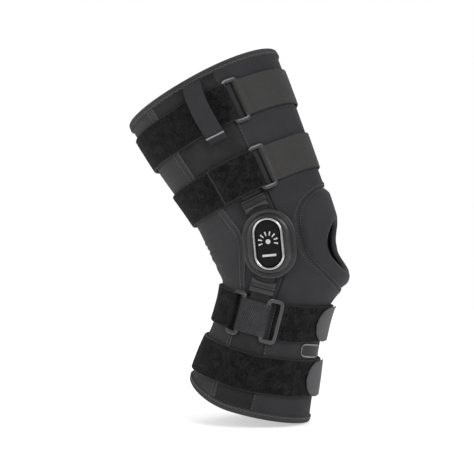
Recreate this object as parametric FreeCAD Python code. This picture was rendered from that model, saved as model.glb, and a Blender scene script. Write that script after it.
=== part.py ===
import FreeCAD, Part
import math
import os

# Hinged knee brace for a range-of-motion programme: a neoprene wrap sleeve in three zones
# (thigh, knee, calf), a two-pivot geared hinge on each side, and four strap lines.
# Frame: +Z up, +X to the front of the knee, -Y to the outer (lateral) side of the leg.
# Origin: the knee centre, midway between the two hinges and between each hinge's pivots.
# The brace is modelled bent, and the right and left halves mirror across the XZ plane.

V = FreeCAD.Vector
ORIGIN = V(0, 0, 0)
SIDEWAYS = V(0, 1, 0)

# ---- posture, mm and degrees ------------------------------------------------
flexion = 40.0            # bend at which the brace is modelled
housing_lean = 5.5        # rearward lean of the hinge housings
pivot_spacing = 24.0      # between a hinge's two pivots
bend_radius = 110.0       # of the sleeve's centre line round the knee
flexion_stop = 90.0       # bend allowed by the fitted flexion stops
extension_stop = 0.0      # bend allowed by the fitted extension stops

# ---- sleeve: distance along the leg, depth to the rear, depth to the front, half width ----
rim_top = 183.0           # mean station of the top rim
rim_bottom = -174.4       # station of the bottom rim at the side of the leg
sleeve_form = (
    (rim_top, 95.8, 78.2, 84.0),
    (120.0, 88.0, 72.8, 73.1),
    (54.0, 76.3, 65.8, 61.5),
    (20.0, 75.6, 63.2, 60.0),
    (-10.0, 72.0, 68.0, 60.0),
    (-25.0, 69.5, 74.0, 60.0),
    (-40.0, 63.0, 66.5, 60.0),
    (-54.0, 51.8, 62.3, 61.0),
    (-95.0, 51.0, 63.0, 61.0),
    (-130.0, 56.5, 67.0, 61.0),
    (rim_bottom, 61.5, 71.8, 61.0),
)
knee_fullness = 2.5       # how square the front of the knee is; 2 is a plain ellipse
sleeve_wall = 3.5         # neoprene with its lining
seam_gap = 0.3            # left between sewn neighbours
layer_gap = 0.4           # between stacked hard layers
strap_gap = 0.8           # under a strap
thigh_edge = 53.0         # station where the thigh shell ends and the knee zone starts
calf_edge = -56.0         # station where the calf shell starts
front_seam = 76.5         # angle from the front of the leg to the pocket panel's front seam
thigh_rear_seam = 127.0   # angle to the pocket panel's rear seam, thigh
knee_rear_seam = 115.0    # the same, knee
calf_rear_seam = 113.0    # the same, calf
rim_top_tilt = 2.7        # rise of the top rim to the front, fall to the rear
rim_bottom_rear = 14.0    # rise of the bottom rim at the rear
rim_bottom_front = 2.0    # rise of the bottom rim at the front
binding_width = 7.0
binding_stand = 1.3       # binding tape's thickness outside and inside the wall

# ---- pockets that hold the uprights ----------------------------------------
pocket_lift = 5.4         # how far the pocket panel stands out over an upright
pocket_flat = 10.0        # half angle of its flat part
pocket_foot = 24.0        # half angle where it meets the leg surface
pocket_top = rim_top - 19 # station past which the pocket fades out towards the top rim
pocket_bottom = rim_bottom + 23.4
pocket_fade = 12.0
section_step = 4.0        # degrees between the sections that a soft piece is drawn through

# ---- hinge -------------------------------------------------------------------
plate_inner = 60.5        # distance of the inner plate's inner face from the mid plane
plate_wall = 1.5
plate_length = 60.0
plate_width = 44.0
upright_wall = 2.5
upright_width = 20.0
upright_play = 0.2        # side play of an upright between the plates
upper_reach = 140.0       # pivot to the tip of the upper upright
lower_reach = 122.0       # pivot to the tip of the lower upright
upper_bend_at = 40.0      # where the upper upright is bent outwards
pocket_play = 0.3         # clearance of an upright in its pocket
gear_teeth = 16
tooth_tall = 1.2
tooth_deep = 1.7
tooth_share = 0.42        # of the pitch that is tooth
rivet_r = 2.5
rivet_play = 0.05
rivet_head_r = 4.2
rivet_head_tall = 1.2
cover_length = 70.0
cover_width = 54.0
flange_wall = 2.0
flange_wide = 4.0
dome_tall = 4.6
cover_wall = 1.8
window_length = 40.0
window_width = 18.0
bezel_length = 52.5
bezel_width = 30.6
bezel_rim = 3.6
bezel_tall = 2.8
face_drop = 0.7           # badge face below the bezel's rim
badge_play = 0.25
stop_wide = 4.4
stop_long = 8.5
stop_play = 0.35
arm_cover_width = 25.0
arm_cover_wall = 2.2
arm_cover_ridge = 4.0
arm_cover_start = 27.6
upper_arm_cover_room = 3.87     # from the upper arm cover to the mouth of its pocket
lower_arm_cover_room = 5.87     # from the lower arm cover to the mouth of its pocket
ridge_long = 5.0
pad_wall = 7.5
pad_half_angle = 26.0
pad_room = 3.0            # angle between a condyle pad and the patella buttress
pad_half_length = 33.0

# ---- patella opening -------------------------------------------------------
patella_station = -5.4
patella_half_width = 40.0
patella_half_height = 29.5
buttress_half_width = 51.0
buttress_half_height = 38.0
buttress_wall = 7.0

# ---- straps ------------------------------------------------------------------
strap_width = 38.0
strap_wall = 3.0
front_strap_wall = 2.0
webbing_wall = 2.2
webbing_width = strap_width - 4
tab_wall = 2.0
upper_thigh_line = rim_top - 39.7    # station of the strap's middle
lower_thigh_line = thigh_edge + strap_width / 2 + 1
upper_calf_line = calf_edge - strap_width / 2 - 0.2
lower_calf_line = rim_bottom + 44.9
upper_calf_rise = 8.0     # rise of the strap from the side to the front
lower_calf_rise = 5.0
ring_length = strap_width + 8
ring_bar = 4.4
ring_wall = 3.0
ring_room = 1.4           # between a ring and the strap ends that turn round its bars
ring_stand = 1.0          # under a ring
thigh_ring_width = 20.0
calf_ring_width = 19.0
upper_thigh_ring_angle = 69.0
lower_thigh_ring_angle = 71.5
calf_front_ring_angle = 76.0
calf_rear_ring_angle = 111.5
thigh_tab_end = 110.5     # angle of the folded-back strap end
calf_tab_root = 5.0       # medial angle of the calf tabs' roots
calf_tab_tip = 29.5       # lateral angle of their rounded tips
tab_tip_share = 0.25      # of the strap's width left at a rounded tip

# ---- pull loops and label --------------------------------------------------
loop_width = 19.5
loop_wall = 1.8
loop_shift = -4.2         # to the rear of the thigh's centre line
loop_top = 171.5          # from the pivot to the upper end
loop_bottom = 103.0
loop_stand = 22.0         # how far the loop's middle stands out
loop_end_stand = 6.6
loop_top_stand = 2.7
bar_tall = 1.6
bar_wall = 1.6
bar_along = 106.5
bar_room = 1.6            # between the bar and the loop it lies on
label_station = -97.4
label_angle = 22.5
label_half_height = (upper_calf_line - lower_calf_line - strap_width) / 2 - 1.15
label_half_angle = 16.2
label_wall = 1.0

# ---- values that follow ----------------------------------------------------
half_bend = math.radians(flexion / 2)
thigh_lean = housing_lean + flexion / 2
calf_lean = housing_lean - flexion / 2
arc_half = bend_radius * half_bend
pivot_to_arc = bend_radius * math.tan(half_bend) - pivot_spacing / 2 / math.cos(half_bend)
pivot_station = arc_half - pivot_to_arc
upright_inner = plate_inner + plate_wall + upright_play
plate_outer = upright_inner + upright_wall + upright_play
gear_r = pivot_spacing / 2
stop_start = gear_r + tooth_tall - 3.6   # of a stop, along the upright from its pivot
upper_arm_cover_end = thigh_edge - pivot_station - upper_arm_cover_room
lower_arm_cover_end = -calf_edge - pivot_station - lower_arm_cover_room
flex_turn = (flexion_stop - flexion) / 2


def forward(lean):
    """Unit vector to the front, square to a leg segment that leans back by this angle."""
    angle = math.radians(lean)
    return V(math.cos(angle), 0, math.sin(angle))


def upward(lean):
    """Unit vector up along a leg segment that leans back by this angle."""
    angle = math.radians(lean)
    return V(-math.sin(angle), 0, math.cos(angle))


upper_pivot = upward(housing_lean) * (pivot_spacing / 2)
lower_pivot = upward(housing_lean) * (-pivot_spacing / 2)
bend_apex = forward(housing_lean) * (pivot_spacing / 2 * math.tan(half_bend))
bend_centre = bend_apex - forward(housing_lean) * (bend_radius / math.cos(half_bend))


def leg_axis(station):
    """Point on the sleeve's centre line and the lean of its section there."""
    bend = max(-arc_half, min(arc_half, station))
    lean = housing_lean + math.degrees(bend / bend_radius)
    point = bend_centre + forward(lean) * bend_radius + upward(lean) * (station - bend)
    return point, lean


def form_at(station):
    """Rear depth, front depth and half width: a smooth curve through the form's rows."""
    rows = sleeve_form
    count = len(rows)
    index = 0
    while index < count - 2 and station < rows[index + 1][0]:
        index += 1
    low, high = rows[index], rows[index + 1]
    before = rows[max(index - 1, 0)]
    after = rows[min(index + 2, count - 1)]
    gap = high[0] - low[0]
    t = (station - low[0]) / gap
    sizes = []
    for column in (1, 2, 3):
        slope_low = (high[column] - before[column]) / (high[0] - before[0]) * gap
        slope_high = (after[column] - low[column]) / (after[0] - low[0]) * gap
        sizes.append(
            low[column] * (2 * t ** 3 - 3 * t ** 2 + 1)
            + slope_low * (t ** 3 - 2 * t ** 2 + t)
            + high[column] * (3 * t ** 2 - 2 * t ** 3)
            + slope_high * (t ** 3 - t ** 2)
        )
    return sizes


def on_leg(station, angle, lift):
    """Point at an angle round the leg (0 front, minus lateral), lifted off the sleeve.

    A section is two half ellipses that meet at the sides; round the knee the front one is
    fuller, a superellipse.
    """
    point, lean = leg_axis(station)
    rear, front, half_width = form_at(station)
    turn = math.radians(angle)
    ahead = math.cos(turn)
    aside = math.sin(turn)
    depth = front if ahead > 0 else rear
    power = 2.0
    if ahead > 0:
        power += (knee_fullness - 2) * (1 - ramp(abs(station), arc_half / 2, thigh_edge))
    scale = (abs(ahead) ** power + abs(aside) ** power) ** (-1 / power)
    ahead *= scale
    aside *= scale
    normal_x = math.copysign(abs(ahead) ** (power - 1), ahead) / depth
    normal_y = math.copysign(abs(aside) ** (power - 1), aside) / half_width
    stretch = lift / math.hypot(normal_x, normal_y)
    across = half_width * aside + normal_y * stretch
    return point + forward(lean) * (depth * ahead + normal_x * stretch) + SIDEWAYS * across


def ramp(value, start, end):
    """0 before start, 1 after end, smooth between."""
    t = max(0.0, min(1.0, (value - start) / (end - start)))
    return t * t * (3 - 2 * t)


def pocket(station, angle):
    """How far the pocket panel stands out, by place: flat over the upright, then falling off."""
    off_side = abs(abs((angle + 180) % 360 - 180) - 90)
    share = 1 - ramp(off_side, pocket_flat, pocket_foot)
    share *= 1 - ramp(station, pocket_top, pocket_top + pocket_fade)
    share *= 1 - ramp(-station, -pocket_bottom, -pocket_bottom + pocket_fade)
    return pocket_lift * share


def curve(points):
    line = Part.BSplineCurve()
    line.interpolate(points)
    return line.toShape()


def blanket(start, end, span, inner, outer, rows=9):
    """Solid that hugs the leg between two angles.

    span(angle) gives the two stations, inner and outer(station, angle) the two lifts.
    """
    steps = max(4, math.ceil(abs(end - start) / section_step))
    wires = []
    caps = []
    for step in range(steps + 1):
        angle = start + (end - start) * step / steps
        low, high = span(angle)
        stations = [low + (high - low) * row / (rows - 1) for row in range(rows)]
        inside = [on_leg(s, angle, inner(s, angle)) for s in stations]
        outside = [on_leg(s, angle, outer(s, angle)) for s in stations]
        edges = [curve(inside), Part.makeLine(inside[-1], outside[-1]),
                 curve(outside), Part.makeLine(outside[0], inside[0])]
        wires.append(Part.Wire(edges))
        if step in (0, steps):
            caps.append(Part.makeRuledSurface(edges[0], edges[2]))
    shell = Part.Shell(Part.makeLoft(wires, False, False).Faces + caps)
    shell.sewShape()
    solid = Part.Solid(shell)
    if solid.Volume < 0:
        solid.reverse()
    return solid


def hoop(span, inner, outer, rows):
    """Closed blanket round the whole leg, sewn up from a front half and a rear half."""
    halves = [blanket(a, a + 180, span, inner, outer, rows) for a in (0, 180)]
    return halves[0].fuse(halves[1]).removeSplitter()


def flat(value):
    return lambda station, angle: value


def over_pocket(extra):
    return lambda station, angle: pocket(station, angle) + extra


def mirrored(shape):
    return shape.mirror(ORIGIN, SIDEWAYS)


def on_segment(shape, pivot, lean):
    """Turns a piece made upright at the origin to lie along a leg segment."""
    placed = shape.copy()
    placed.rotate(ORIGIN, SIDEWAYS, -lean)
    placed.translate(pivot)
    return placed


def slab(outline, near, far):
    """Plate between two distances from the mid plane, on the lateral side."""
    face = Part.Face(outline)
    face.translate(V(0, -far, 0))
    return face.extrude(V(0, far - near, 0))


def stadium(length, width):
    """Upright oval outline with round ends, in the XZ plane."""
    radius = width / 2
    rise = length / 2 - radius
    corners = (V(radius, 0, rise), V(-radius, 0, rise), V(-radius, 0, -rise), V(radius, 0, -rise))
    return Part.Wire([
        Part.Arc(corners[0], V(0, 0, rise + radius), corners[1]).toShape(),
        Part.makeLine(corners[1], corners[2]),
        Part.Arc(corners[2], V(0, 0, -rise - radius), corners[3]).toShape(),
        Part.makeLine(corners[3], corners[0]),
    ])


def box_outline(left, right, bottom, top):
    corners = (V(left, 0, bottom), V(right, 0, bottom), V(right, 0, top), V(left, 0, top))
    return Part.makePolygon(corners + corners[:1])


def disc(radius, near, far, at=ORIGIN):
    base = V(at.x, -far, at.z)
    return Part.makeCylinder(radius, far - near, base, SIDEWAYS)


nodes = {}


# ---- sleeve panels -----------------------------------------------------------
def top_rim(angle):
    return rim_top + rim_top_tilt * math.cos(math.radians(angle))


def bottom_rim(angle):
    level = math.cos(math.radians(angle))
    rise = rim_bottom_front if level > 0 else rim_bottom_rear
    return rim_bottom + rise * level * level


def thigh_span(angle):
    return thigh_edge + seam_gap, top_rim(angle) - binding_width - seam_gap


def knee_span(angle):
    return calf_edge + seam_gap, thigh_edge - seam_gap


def calf_span(angle):
    return bottom_rim(angle) + binding_width + seam_gap, calf_edge - seam_gap


seam_angle = math.degrees(seam_gap / 2 / form_at(0)[2])
zones = {
    "thigh": (thigh_span, thigh_rear_seam, over_pocket(0), 9),
    "knee": (knee_span, knee_rear_seam, flat(0), 11),
    "calf": (calf_span, calf_rear_seam, over_pocket(0), 9),
}
for zone, (span, rear_seam, outside, rows) in zones.items():
    inside = flat(-sleeve_wall)
    front = blanket(-front_seam + seam_angle, front_seam - seam_angle, span, inside, flat(0), rows)
    nodes[zone + "_front_panel"] = front
    rear_start = rear_seam + seam_angle
    nodes[zone + "_back_panel"] = blanket(
        rear_start, 360 - rear_start, span, inside, flat(0), rows)
    nodes[zone + "_side_lateral"] = blanket(
        -rear_seam + seam_angle, -front_seam - seam_angle, span, inside, outside, rows)

nodes["top_binding"] = hoop(
    lambda angle: (top_rim(angle) - binding_width, top_rim(angle)),
    flat(-sleeve_wall - binding_stand), flat(binding_stand), 3)
nodes["bottom_binding"] = hoop(
    lambda angle: (bottom_rim(angle), bottom_rim(angle) + binding_width),
    flat(-sleeve_wall - binding_stand), flat(binding_stand), 3)

# ---- patella opening and its buttress pad -------------------------------------
opening_point, opening_lean = leg_axis(patella_station)


def patella_cutter(half_width, half_height):
    """Elliptical bar that points out of the front of the knee."""
    major = max(half_width, half_height)
    minor = min(half_width, half_height)
    ahead = forward(opening_lean)
    long_way = SIDEWAYS if half_width > half_height else upward(opening_lean)
    ellipse = Part.Ellipse(opening_point + long_way * major,
                           opening_point + ahead.cross(long_way) * minor, opening_point)
    return Part.Face(Part.Wire([ellipse.toShape()])).extrude(ahead * (2 * bend_radius))


hole = patella_cutter(patella_half_width, patella_half_height)
nodes["knee_front_panel"] = nodes["knee_front_panel"].cut(hole)
ring_blank_angle = 90 - pad_half_angle - pad_room
ring_blank = blanket(
    -ring_blank_angle, ring_blank_angle, knee_span,
    flat(-sleeve_wall - layer_gap - buttress_wall), flat(-sleeve_wall - layer_gap), 11)
ring_blank = ring_blank.common(patella_cutter(buttress_half_width, buttress_half_height))
nodes["patella_buttress"] = ring_blank.cut(hole)

# ---- hinges ------------------------------------------------------------------
def gear_outline(first_tooth):
    """Toothed disc outline; first_tooth is the angle of one tooth's middle, from +X."""
    points = []
    pitch = 2 * math.pi / gear_teeth
    root = gear_r - tooth_deep
    tip = gear_r + tooth_tall
    for tooth in range(gear_teeth):
        middle = math.radians(first_tooth) + tooth * pitch
        half = pitch * tooth_share / 2
        lean_in = half * 0.45
        for radius, offset in ((root, -half - lean_in), (gear_r, -half), (tip, -half + lean_in),
                               (tip, half - lean_in), (gear_r, half), (root, half + lean_in)):
            turn = middle + offset
            points.append(V(radius * math.cos(turn), 0, radius * math.sin(turn)))
    return Part.makePolygon(points + points[:1])


def upright_profile(out, reach, bend_at, rise, grow):
    """Side profile of a bar, in the plane of its length and its distance from the mid plane."""
    inner = upright_inner - grow
    outer = upright_inner + upright_wall + grow
    tip = rise * (reach + grow - bend_at)
    points = [V(0, -inner, 0), V(0, -inner, out * bend_at), V(0, -inner - tip, out * (reach + grow)),
              V(0, -outer - tip, out * (reach + grow)), V(0, -outer, out * bend_at), V(0, -outer, 0)]
    return Part.Face(Part.makePolygon(points + points[:1]))


def bar_shape(out, reach, bend_at, rise, grow):
    """Flat bar with a round tip, bent once; grow makes the same shape larger all round."""
    half = upright_width / 2 + grow
    sides = upright_profile(out, reach, bend_at, rise, grow)
    sides.translate(V(-half, 0, 0))
    bar = sides.extrude(V(2 * half, 0, 0))
    far = upright_inner + upright_wall + grow + rise * (reach + grow) + 1
    corner = reach + grow - half
    low, high = sorted((0, out * corner))
    outline = slab(box_outline(-half, half, low, high), plate_inner - 1, far)
    return bar.common(outline.fuse(disc(half, plate_inner - 1, far, V(0, 0, out * corner))))


def upright(out, reach, bend_at, rise, first_tooth):
    gear = slab(gear_outline(first_tooth), upright_inner, upright_inner + upright_wall)
    bar = bar_shape(out, reach, bend_at, rise, 0).fuse(gear).removeSplitter()
    return bar.cut(disc(rivet_r + rivet_play, plate_inner, plate_outer + plate_wall))


thigh_rise = (form_at(rim_top)[2] - form_at(thigh_edge)[2]) / (rim_top - thigh_edge)
tooth_pitch = 360.0 / gear_teeth
upper_bar = (1, upper_reach, upper_bend_at, thigh_rise)
lower_bar = (-1, lower_reach, lower_reach / 2, 0.0)
# The upper gear has a tooth on the line between the pivots, and the lower gear a gap.
upper_tooth = -90 - flexion / 2
lower_tooth = 90 + flexion / 2 + tooth_pitch / 2
nodes["upper_upright_lateral"] = on_segment(upright(*upper_bar, upper_tooth), upper_pivot, thigh_lean)
nodes["lower_upright_lateral"] = on_segment(upright(*lower_bar, lower_tooth), lower_pivot, calf_lean)

upper_slot = on_segment(bar_shape(*upper_bar, pocket_play), upper_pivot, thigh_lean)
lower_slot = on_segment(bar_shape(*lower_bar, pocket_play), lower_pivot, calf_lean)
nodes["thigh_side_lateral"] = nodes["thigh_side_lateral"].cut(upper_slot)
nodes["calf_side_lateral"] = nodes["calf_side_lateral"].cut(lower_slot)

plates = []
for near in (plate_inner, plate_outer):
    plate = slab(stadium(plate_length, plate_width), near, near + plate_wall)
    for height in (-pivot_spacing / 2, pivot_spacing / 2):
        plate = plate.cut(disc(rivet_r + rivet_play, near - 1, near + plate_wall + 1, V(0, 0, height)))
    plates.append(on_segment(plate, ORIGIN, housing_lean))
nodes["hinge_plates_lateral"] = Part.makeCompound(plates)

plate_top = plate_outer + plate_wall
rivets = []
for height in (-pivot_spacing / 2, pivot_spacing / 2):
    at = V(0, 0, height)
    shank = disc(rivet_r, plate_inner, plate_top + rivet_head_tall, at)
    head = disc(rivet_head_r, plate_top, plate_top + rivet_head_tall, at)
    rivets.append(on_segment(shank.fuse(head).removeSplitter(), ORIGIN, housing_lean))

# One stop stands just past the upright at each end of its travel, between the plates.
stops = []
stop_from = upright_width / 2 + stop_play
front_stop = slab(box_outline(stop_from, stop_from + stop_wide, stop_start, stop_start + stop_long),
                  upright_inner, plate_outer - upright_play)
rear_stop = slab(box_outline(-stop_from - stop_wide, -stop_from, stop_start, stop_start + stop_long),
                 upright_inner, plate_outer - upright_play)
for stop, turn in ((front_stop, -extension_stop / 2), (rear_stop, -flexion_stop / 2)):
    placed = stop.copy()
    placed.rotate(ORIGIN, SIDEWAYS, turn)
    placed.translate(V(0, 0, pivot_spacing / 2))
    for piece in (placed, placed.mirror(ORIGIN, V(0, 0, 1))):
        stops.append(on_segment(piece, ORIGIN, housing_lean))

dome_near = plate_outer + flange_wall
dome_far = dome_near + dome_tall
flange = slab(stadium(cover_length, cover_width), plate_outer, dome_near)
dome = slab(stadium(cover_length - 2 * flange_wide, cover_width - 2 * flange_wide), plate_outer, dome_far)
dome_edges = [e for e in dome.Edges if abs(e.CenterOfMass.y + dome_far) < 0.01]
dome = dome.makeFillet(dome_tall / 2, dome_edges)
cover = flange.fuse(dome).removeSplitter()
plate_room = slab(stadium(plate_length + 2 * layer_gap, plate_width + 2 * layer_gap),
                  plate_outer, plate_top + layer_gap)
head_room = slab(stadium(plate_length - 6, plate_width - 6), plate_outer, dome_far - 2 * cover_wall)
window = slab(stadium(window_length, window_width), plate_outer, dome_far + 1)
recess = slab(stadium(bezel_length + 2 * badge_play, bezel_width + 2 * badge_play),
              dome_far - cover_wall / 2, dome_far + 1)
for cut in (plate_room, head_room, window, recess):
    cover = cover.cut(cut)
nodes["hinge_cover_lateral"] = on_segment(cover, ORIGIN, housing_lean)

badge_near = dome_far - cover_wall / 2 + badge_play
face_length = bezel_length - 2 * bezel_rim
face_width = bezel_width - 2 * bezel_rim
bezel = slab(stadium(bezel_length, bezel_width), badge_near, badge_near + bezel_tall)
bezel_edges = [e for e in bezel.Edges if abs(e.CenterOfMass.y + badge_near + bezel_tall) < 0.01]
bezel = bezel.makeFillet(bezel_rim / 4, bezel_edges)
bezel = bezel.cut(slab(stadium(face_length, face_width), badge_near - 1, badge_near + bezel_tall + 1))
nodes["badge_bezel_lateral"] = on_segment(bezel, ORIGIN, housing_lean)
badge_face = slab(stadium(face_length - 2 * badge_play, face_width - 2 * badge_play),
                  badge_near, badge_near + bezel_tall - face_drop)
nodes["badge_face_lateral"] = on_segment(badge_face, ORIGIN, housing_lean)


def arm_cover(out, end):
    """Moulded cover on an upright: a low plate with a ridge at its far end and a hollow near end."""
    half = arm_cover_width / 2
    near = upright_inner + upright_wall + layer_gap / 2
    low, high = sorted((0, out * end))
    plate = slab(box_outline(-half, half, low, high), near, near + arm_cover_wall)
    low, high = sorted((out * (end - ridge_long), out * end))
    plate = plate.fuse(slab(box_outline(-half, half, low, high), near, near + arm_cover_ridge))
    return plate.cut(disc(arm_cover_start, near - 1, near + arm_cover_ridge + 1)).removeSplitter()


nodes["upper_arm_cover_lateral"] = on_segment(arm_cover(1, upper_arm_cover_end), upper_pivot, thigh_lean)
nodes["lower_arm_cover_lateral"] = on_segment(arm_cover(-1, lower_arm_cover_end), lower_pivot, calf_lean)

pad_outer = -sleeve_wall - layer_gap
nodes["condyle_pad_lateral"] = blanket(
    -90 - pad_half_angle, -90 + pad_half_angle, lambda angle: (-pad_half_length, pad_half_length),
    flat(pad_outer - pad_wall), flat(pad_outer), 5)


# ---- straps ------------------------------------------------------------------
def strap_line(line, rise, width=strap_width):
    """Stations of a strap's two edges: level round the rear, rising to the front."""
    def span(angle):
        level = max(0.0, math.cos(math.radians(angle)))
        middle = line + rise * level * level
        return middle - width / 2, middle + width / 2
    return span


def ring_reach(line, angle, width):
    """Half angle that a ring of this width takes round the leg, with its clearance."""
    rear, front, _ = form_at(line)
    depth = front if angle < 90 else rear
    turn = math.radians(angle)
    radius = math.hypot(depth * math.sin(turn), form_at(line)[2] * math.cos(turn))
    return math.degrees((width / 2 + ring_room) / radius)


def strap_ring(line, rise, angle, width):
    """Flat rectangular loop resting on the sleeve along the strap line, on the lateral side."""
    low, high = strap_line(line, rise)(angle)
    middle = (low + high) / 2
    reach = ring_reach(line, angle, width)
    turns = [-angle + reach * share for share in (-1, -0.6, -0.2, 0.2, 0.6, 1)]
    feet = [on_leg(middle, turn, ring_stand + pocket(middle, turn)) for turn in turns]
    ahead = (feet[-1] - feet[0]).normalize()
    up = on_leg(middle + 1, -angle, ring_stand) - on_leg(middle - 1, -angle, ring_stand)
    up = (up - ahead * up.dot(ahead)).normalize()
    out = ahead.cross(up)
    rest = (feet[0] + feet[-1]) / 2
    highest = max((foot - rest).dot(out) for foot in feet)
    centre = rest + out * (highest + ring_wall / 2)

    def plate(half_wide, half_tall, thick):
        corners = [centre + ahead * (x * half_wide) + up * (z * half_tall) - out * (thick / 2)
                   for x, z in ((-1, -1), (1, -1), (1, 1), (-1, 1))]
        return Part.Face(Part.makePolygon(corners + corners[:1])).extrude(out * thick)

    frame = plate(width / 2, ring_length / 2, ring_wall)
    return frame.cut(plate(width / 2 - ring_bar, ring_length / 2 - ring_bar, 2 * ring_wall))


def strap(start, end, line, rise, wall, below=0.0, width=strap_width):
    """Band on a strap line; one that goes more than half way round is sewn from two lengths."""
    middle = (start + end) / 2
    lengths = ((start, middle), (middle, end)) if end - start > 180 else ((start, end),)
    bands = [blanket(a, b, strap_line(line, rise, width), over_pocket(below + strap_gap),
                     over_pocket(below + strap_gap + wall), 3) for a, b in lengths]
    return bands[0].fuse(bands[1:]).removeSplitter() if len(bands) > 1 else bands[0]


rings = {}
for name, line, angle in (("upper_thigh", upper_thigh_line, upper_thigh_ring_angle),
                          ("lower_thigh", lower_thigh_line, lower_thigh_ring_angle)):
    nodes[name + "_ring_lateral"] = strap_ring(line, 0, angle, thigh_ring_width)
    reach = ring_reach(line, angle, thigh_ring_width)
    rings[name] = (angle - reach, angle + reach)
    nodes[name + "_strap_front"] = strap(
        -angle + reach, angle - reach, line, 0, front_strap_wall)
    nodes[name + "_strap_back"] = strap(
        angle + reach, 360 - angle - reach, line, 0, strap_wall)
for name, angle in (("front", calf_front_ring_angle), ("rear", calf_rear_ring_angle)):
    nodes["calf_" + name + "_ring_lateral"] = strap_ring(
        upper_calf_line, upper_calf_rise, angle, calf_ring_width)
    reach = ring_reach(upper_calf_line, angle, calf_ring_width)
    rings["calf_" + name] = (angle - reach, angle + reach)
front_end = rings["calf_front"][0]
rear_end = rings["calf_rear"][1]
nodes["upper_calf_strap_front"] = strap(
    -front_end, front_end, upper_calf_line, upper_calf_rise, strap_wall)
nodes["upper_calf_strap_back"] = strap(
    rear_end, 360 - rear_end, upper_calf_line, upper_calf_rise, strap_wall)
nodes["upper_calf_webbing_lateral"] = strap(
    -rings["calf_rear"][0], -rings["calf_front"][1], upper_calf_line, upper_calf_rise,
    webbing_wall, width=webbing_width)
nodes["lower_calf_strap"] = hoop(
    strap_line(lower_calf_line, lower_calf_rise),
    over_pocket(strap_gap), over_pocket(strap_gap + strap_wall), 3)


def tab_line(line, rise, root, tip):
    """Edges of a strap end that keeps its width, then closes in a round tip."""
    def span(angle):
        low, high = strap_line(line, rise)(angle)
        along = abs(angle - root) / abs(tip - root)
        close = max(0.0, (along - 0.55) / 0.45)
        share = max(tab_tip_share, math.sqrt(max(0.0, 1 - close * close)))
        middle = (low + high) / 2
        half = (high - low) / 2 * share
        return middle - half, middle + half
    return span


for name, line, rise in (("upper_calf", upper_calf_line, upper_calf_rise),
                         ("lower_calf", lower_calf_line, lower_calf_rise)):
    below = strap_gap + strap_wall + strap_gap
    nodes[name + "_strap_tab"] = blanket(
        calf_tab_root, -calf_tab_tip, tab_line(line, rise, calf_tab_root, -calf_tab_tip),
        flat(below), flat(below + tab_wall), 3)
nodes["lower_thigh_strap_tab"] = strap(
    -thigh_tab_end, -rings["lower_thigh"][1], lower_thigh_line, 0, tab_wall, below=strap_wall + strap_gap)


# ---- pull loops --------------------------------------------------------------
def loop_point(along, stand, offset):
    half_width = form_at(along + pivot_station)[2]
    return V(0, -half_width - stand - offset, along)


def loop_edge(offset):
    span = loop_top - loop_bottom
    stands = ((0.0, loop_end_stand), (0.15, 0.62 * loop_stand), (0.4, loop_stand),
              (0.66, 0.93 * loop_stand), (0.88, 0.48 * loop_stand), (1.0, loop_top_stand))
    return curve([loop_point(loop_bottom + share * span, stand, offset) for share, stand in stands])


inner_edge = loop_edge(0)
outer_edge = loop_edge(loop_wall)
ends = [(inner_edge.valueAt(end), outer_edge.valueAt(far)) for end, far in (
    (inner_edge.FirstParameter, outer_edge.FirstParameter),
    (inner_edge.LastParameter, outer_edge.LastParameter))]
loop_outline = Part.Wire([inner_edge, Part.makeLine(*ends[1]), outer_edge, Part.makeLine(*ends[0])])
loop = Part.Face(loop_outline)
loop.translate(V(loop_shift - loop_width / 2, 0, 0))
loop = loop.extrude(V(loop_width, 0, 0))
bar_share = (bar_along + bar_tall / 2 - loop_bottom) / (loop_top - loop_bottom)
nodes["pull_loop_lateral"] = on_segment(loop, upper_pivot, thigh_lean)
bar_stand = loop_end_stand + (0.62 * loop_stand - loop_end_stand) * bar_share / 0.15
bar_near = form_at(bar_along + pivot_station)[2] + bar_stand + loop_wall + bar_room
loop_bar = Part.makeBox(loop_width, bar_wall, bar_tall,
                        V(loop_shift - loop_width / 2, -bar_near - bar_wall, bar_along))
loop_bar = on_segment(loop_bar, upper_pivot, thigh_lean)
nodes["size_label"] = blanket(
    -label_angle - label_half_angle, -label_angle + label_half_angle,
    lambda angle: (label_station - label_half_height, label_station + label_half_height),
    flat(layer_gap), flat(layer_gap + label_wall), 3)

# ---- both sides, and groups of like pieces -----------------------------------
for name in [n for n in nodes if n.endswith("_lateral")]:
    nodes[name.replace("_lateral", "_medial")] = mirrored(nodes[name])
groups = {"pivot_rivets": rivets, "hinge_stops": stops, "pull_loop_bars": [loop_bar]}
for name, pieces in groups.items():
    nodes[name] = Part.makeCompound(pieces + [mirrored(piece) for piece in pieces])

os.makedirs("parts", exist_ok=True)
for name, shape in nodes.items():
    if not shape.isValid() or not shape.Solids:
        print("FAULT", name, shape.ShapeType, shape.isValid(), len(shape.Solids))
    shape.exportStep("parts/" + name + ".step")
print(len(nodes), "nodes")
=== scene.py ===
import math

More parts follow.
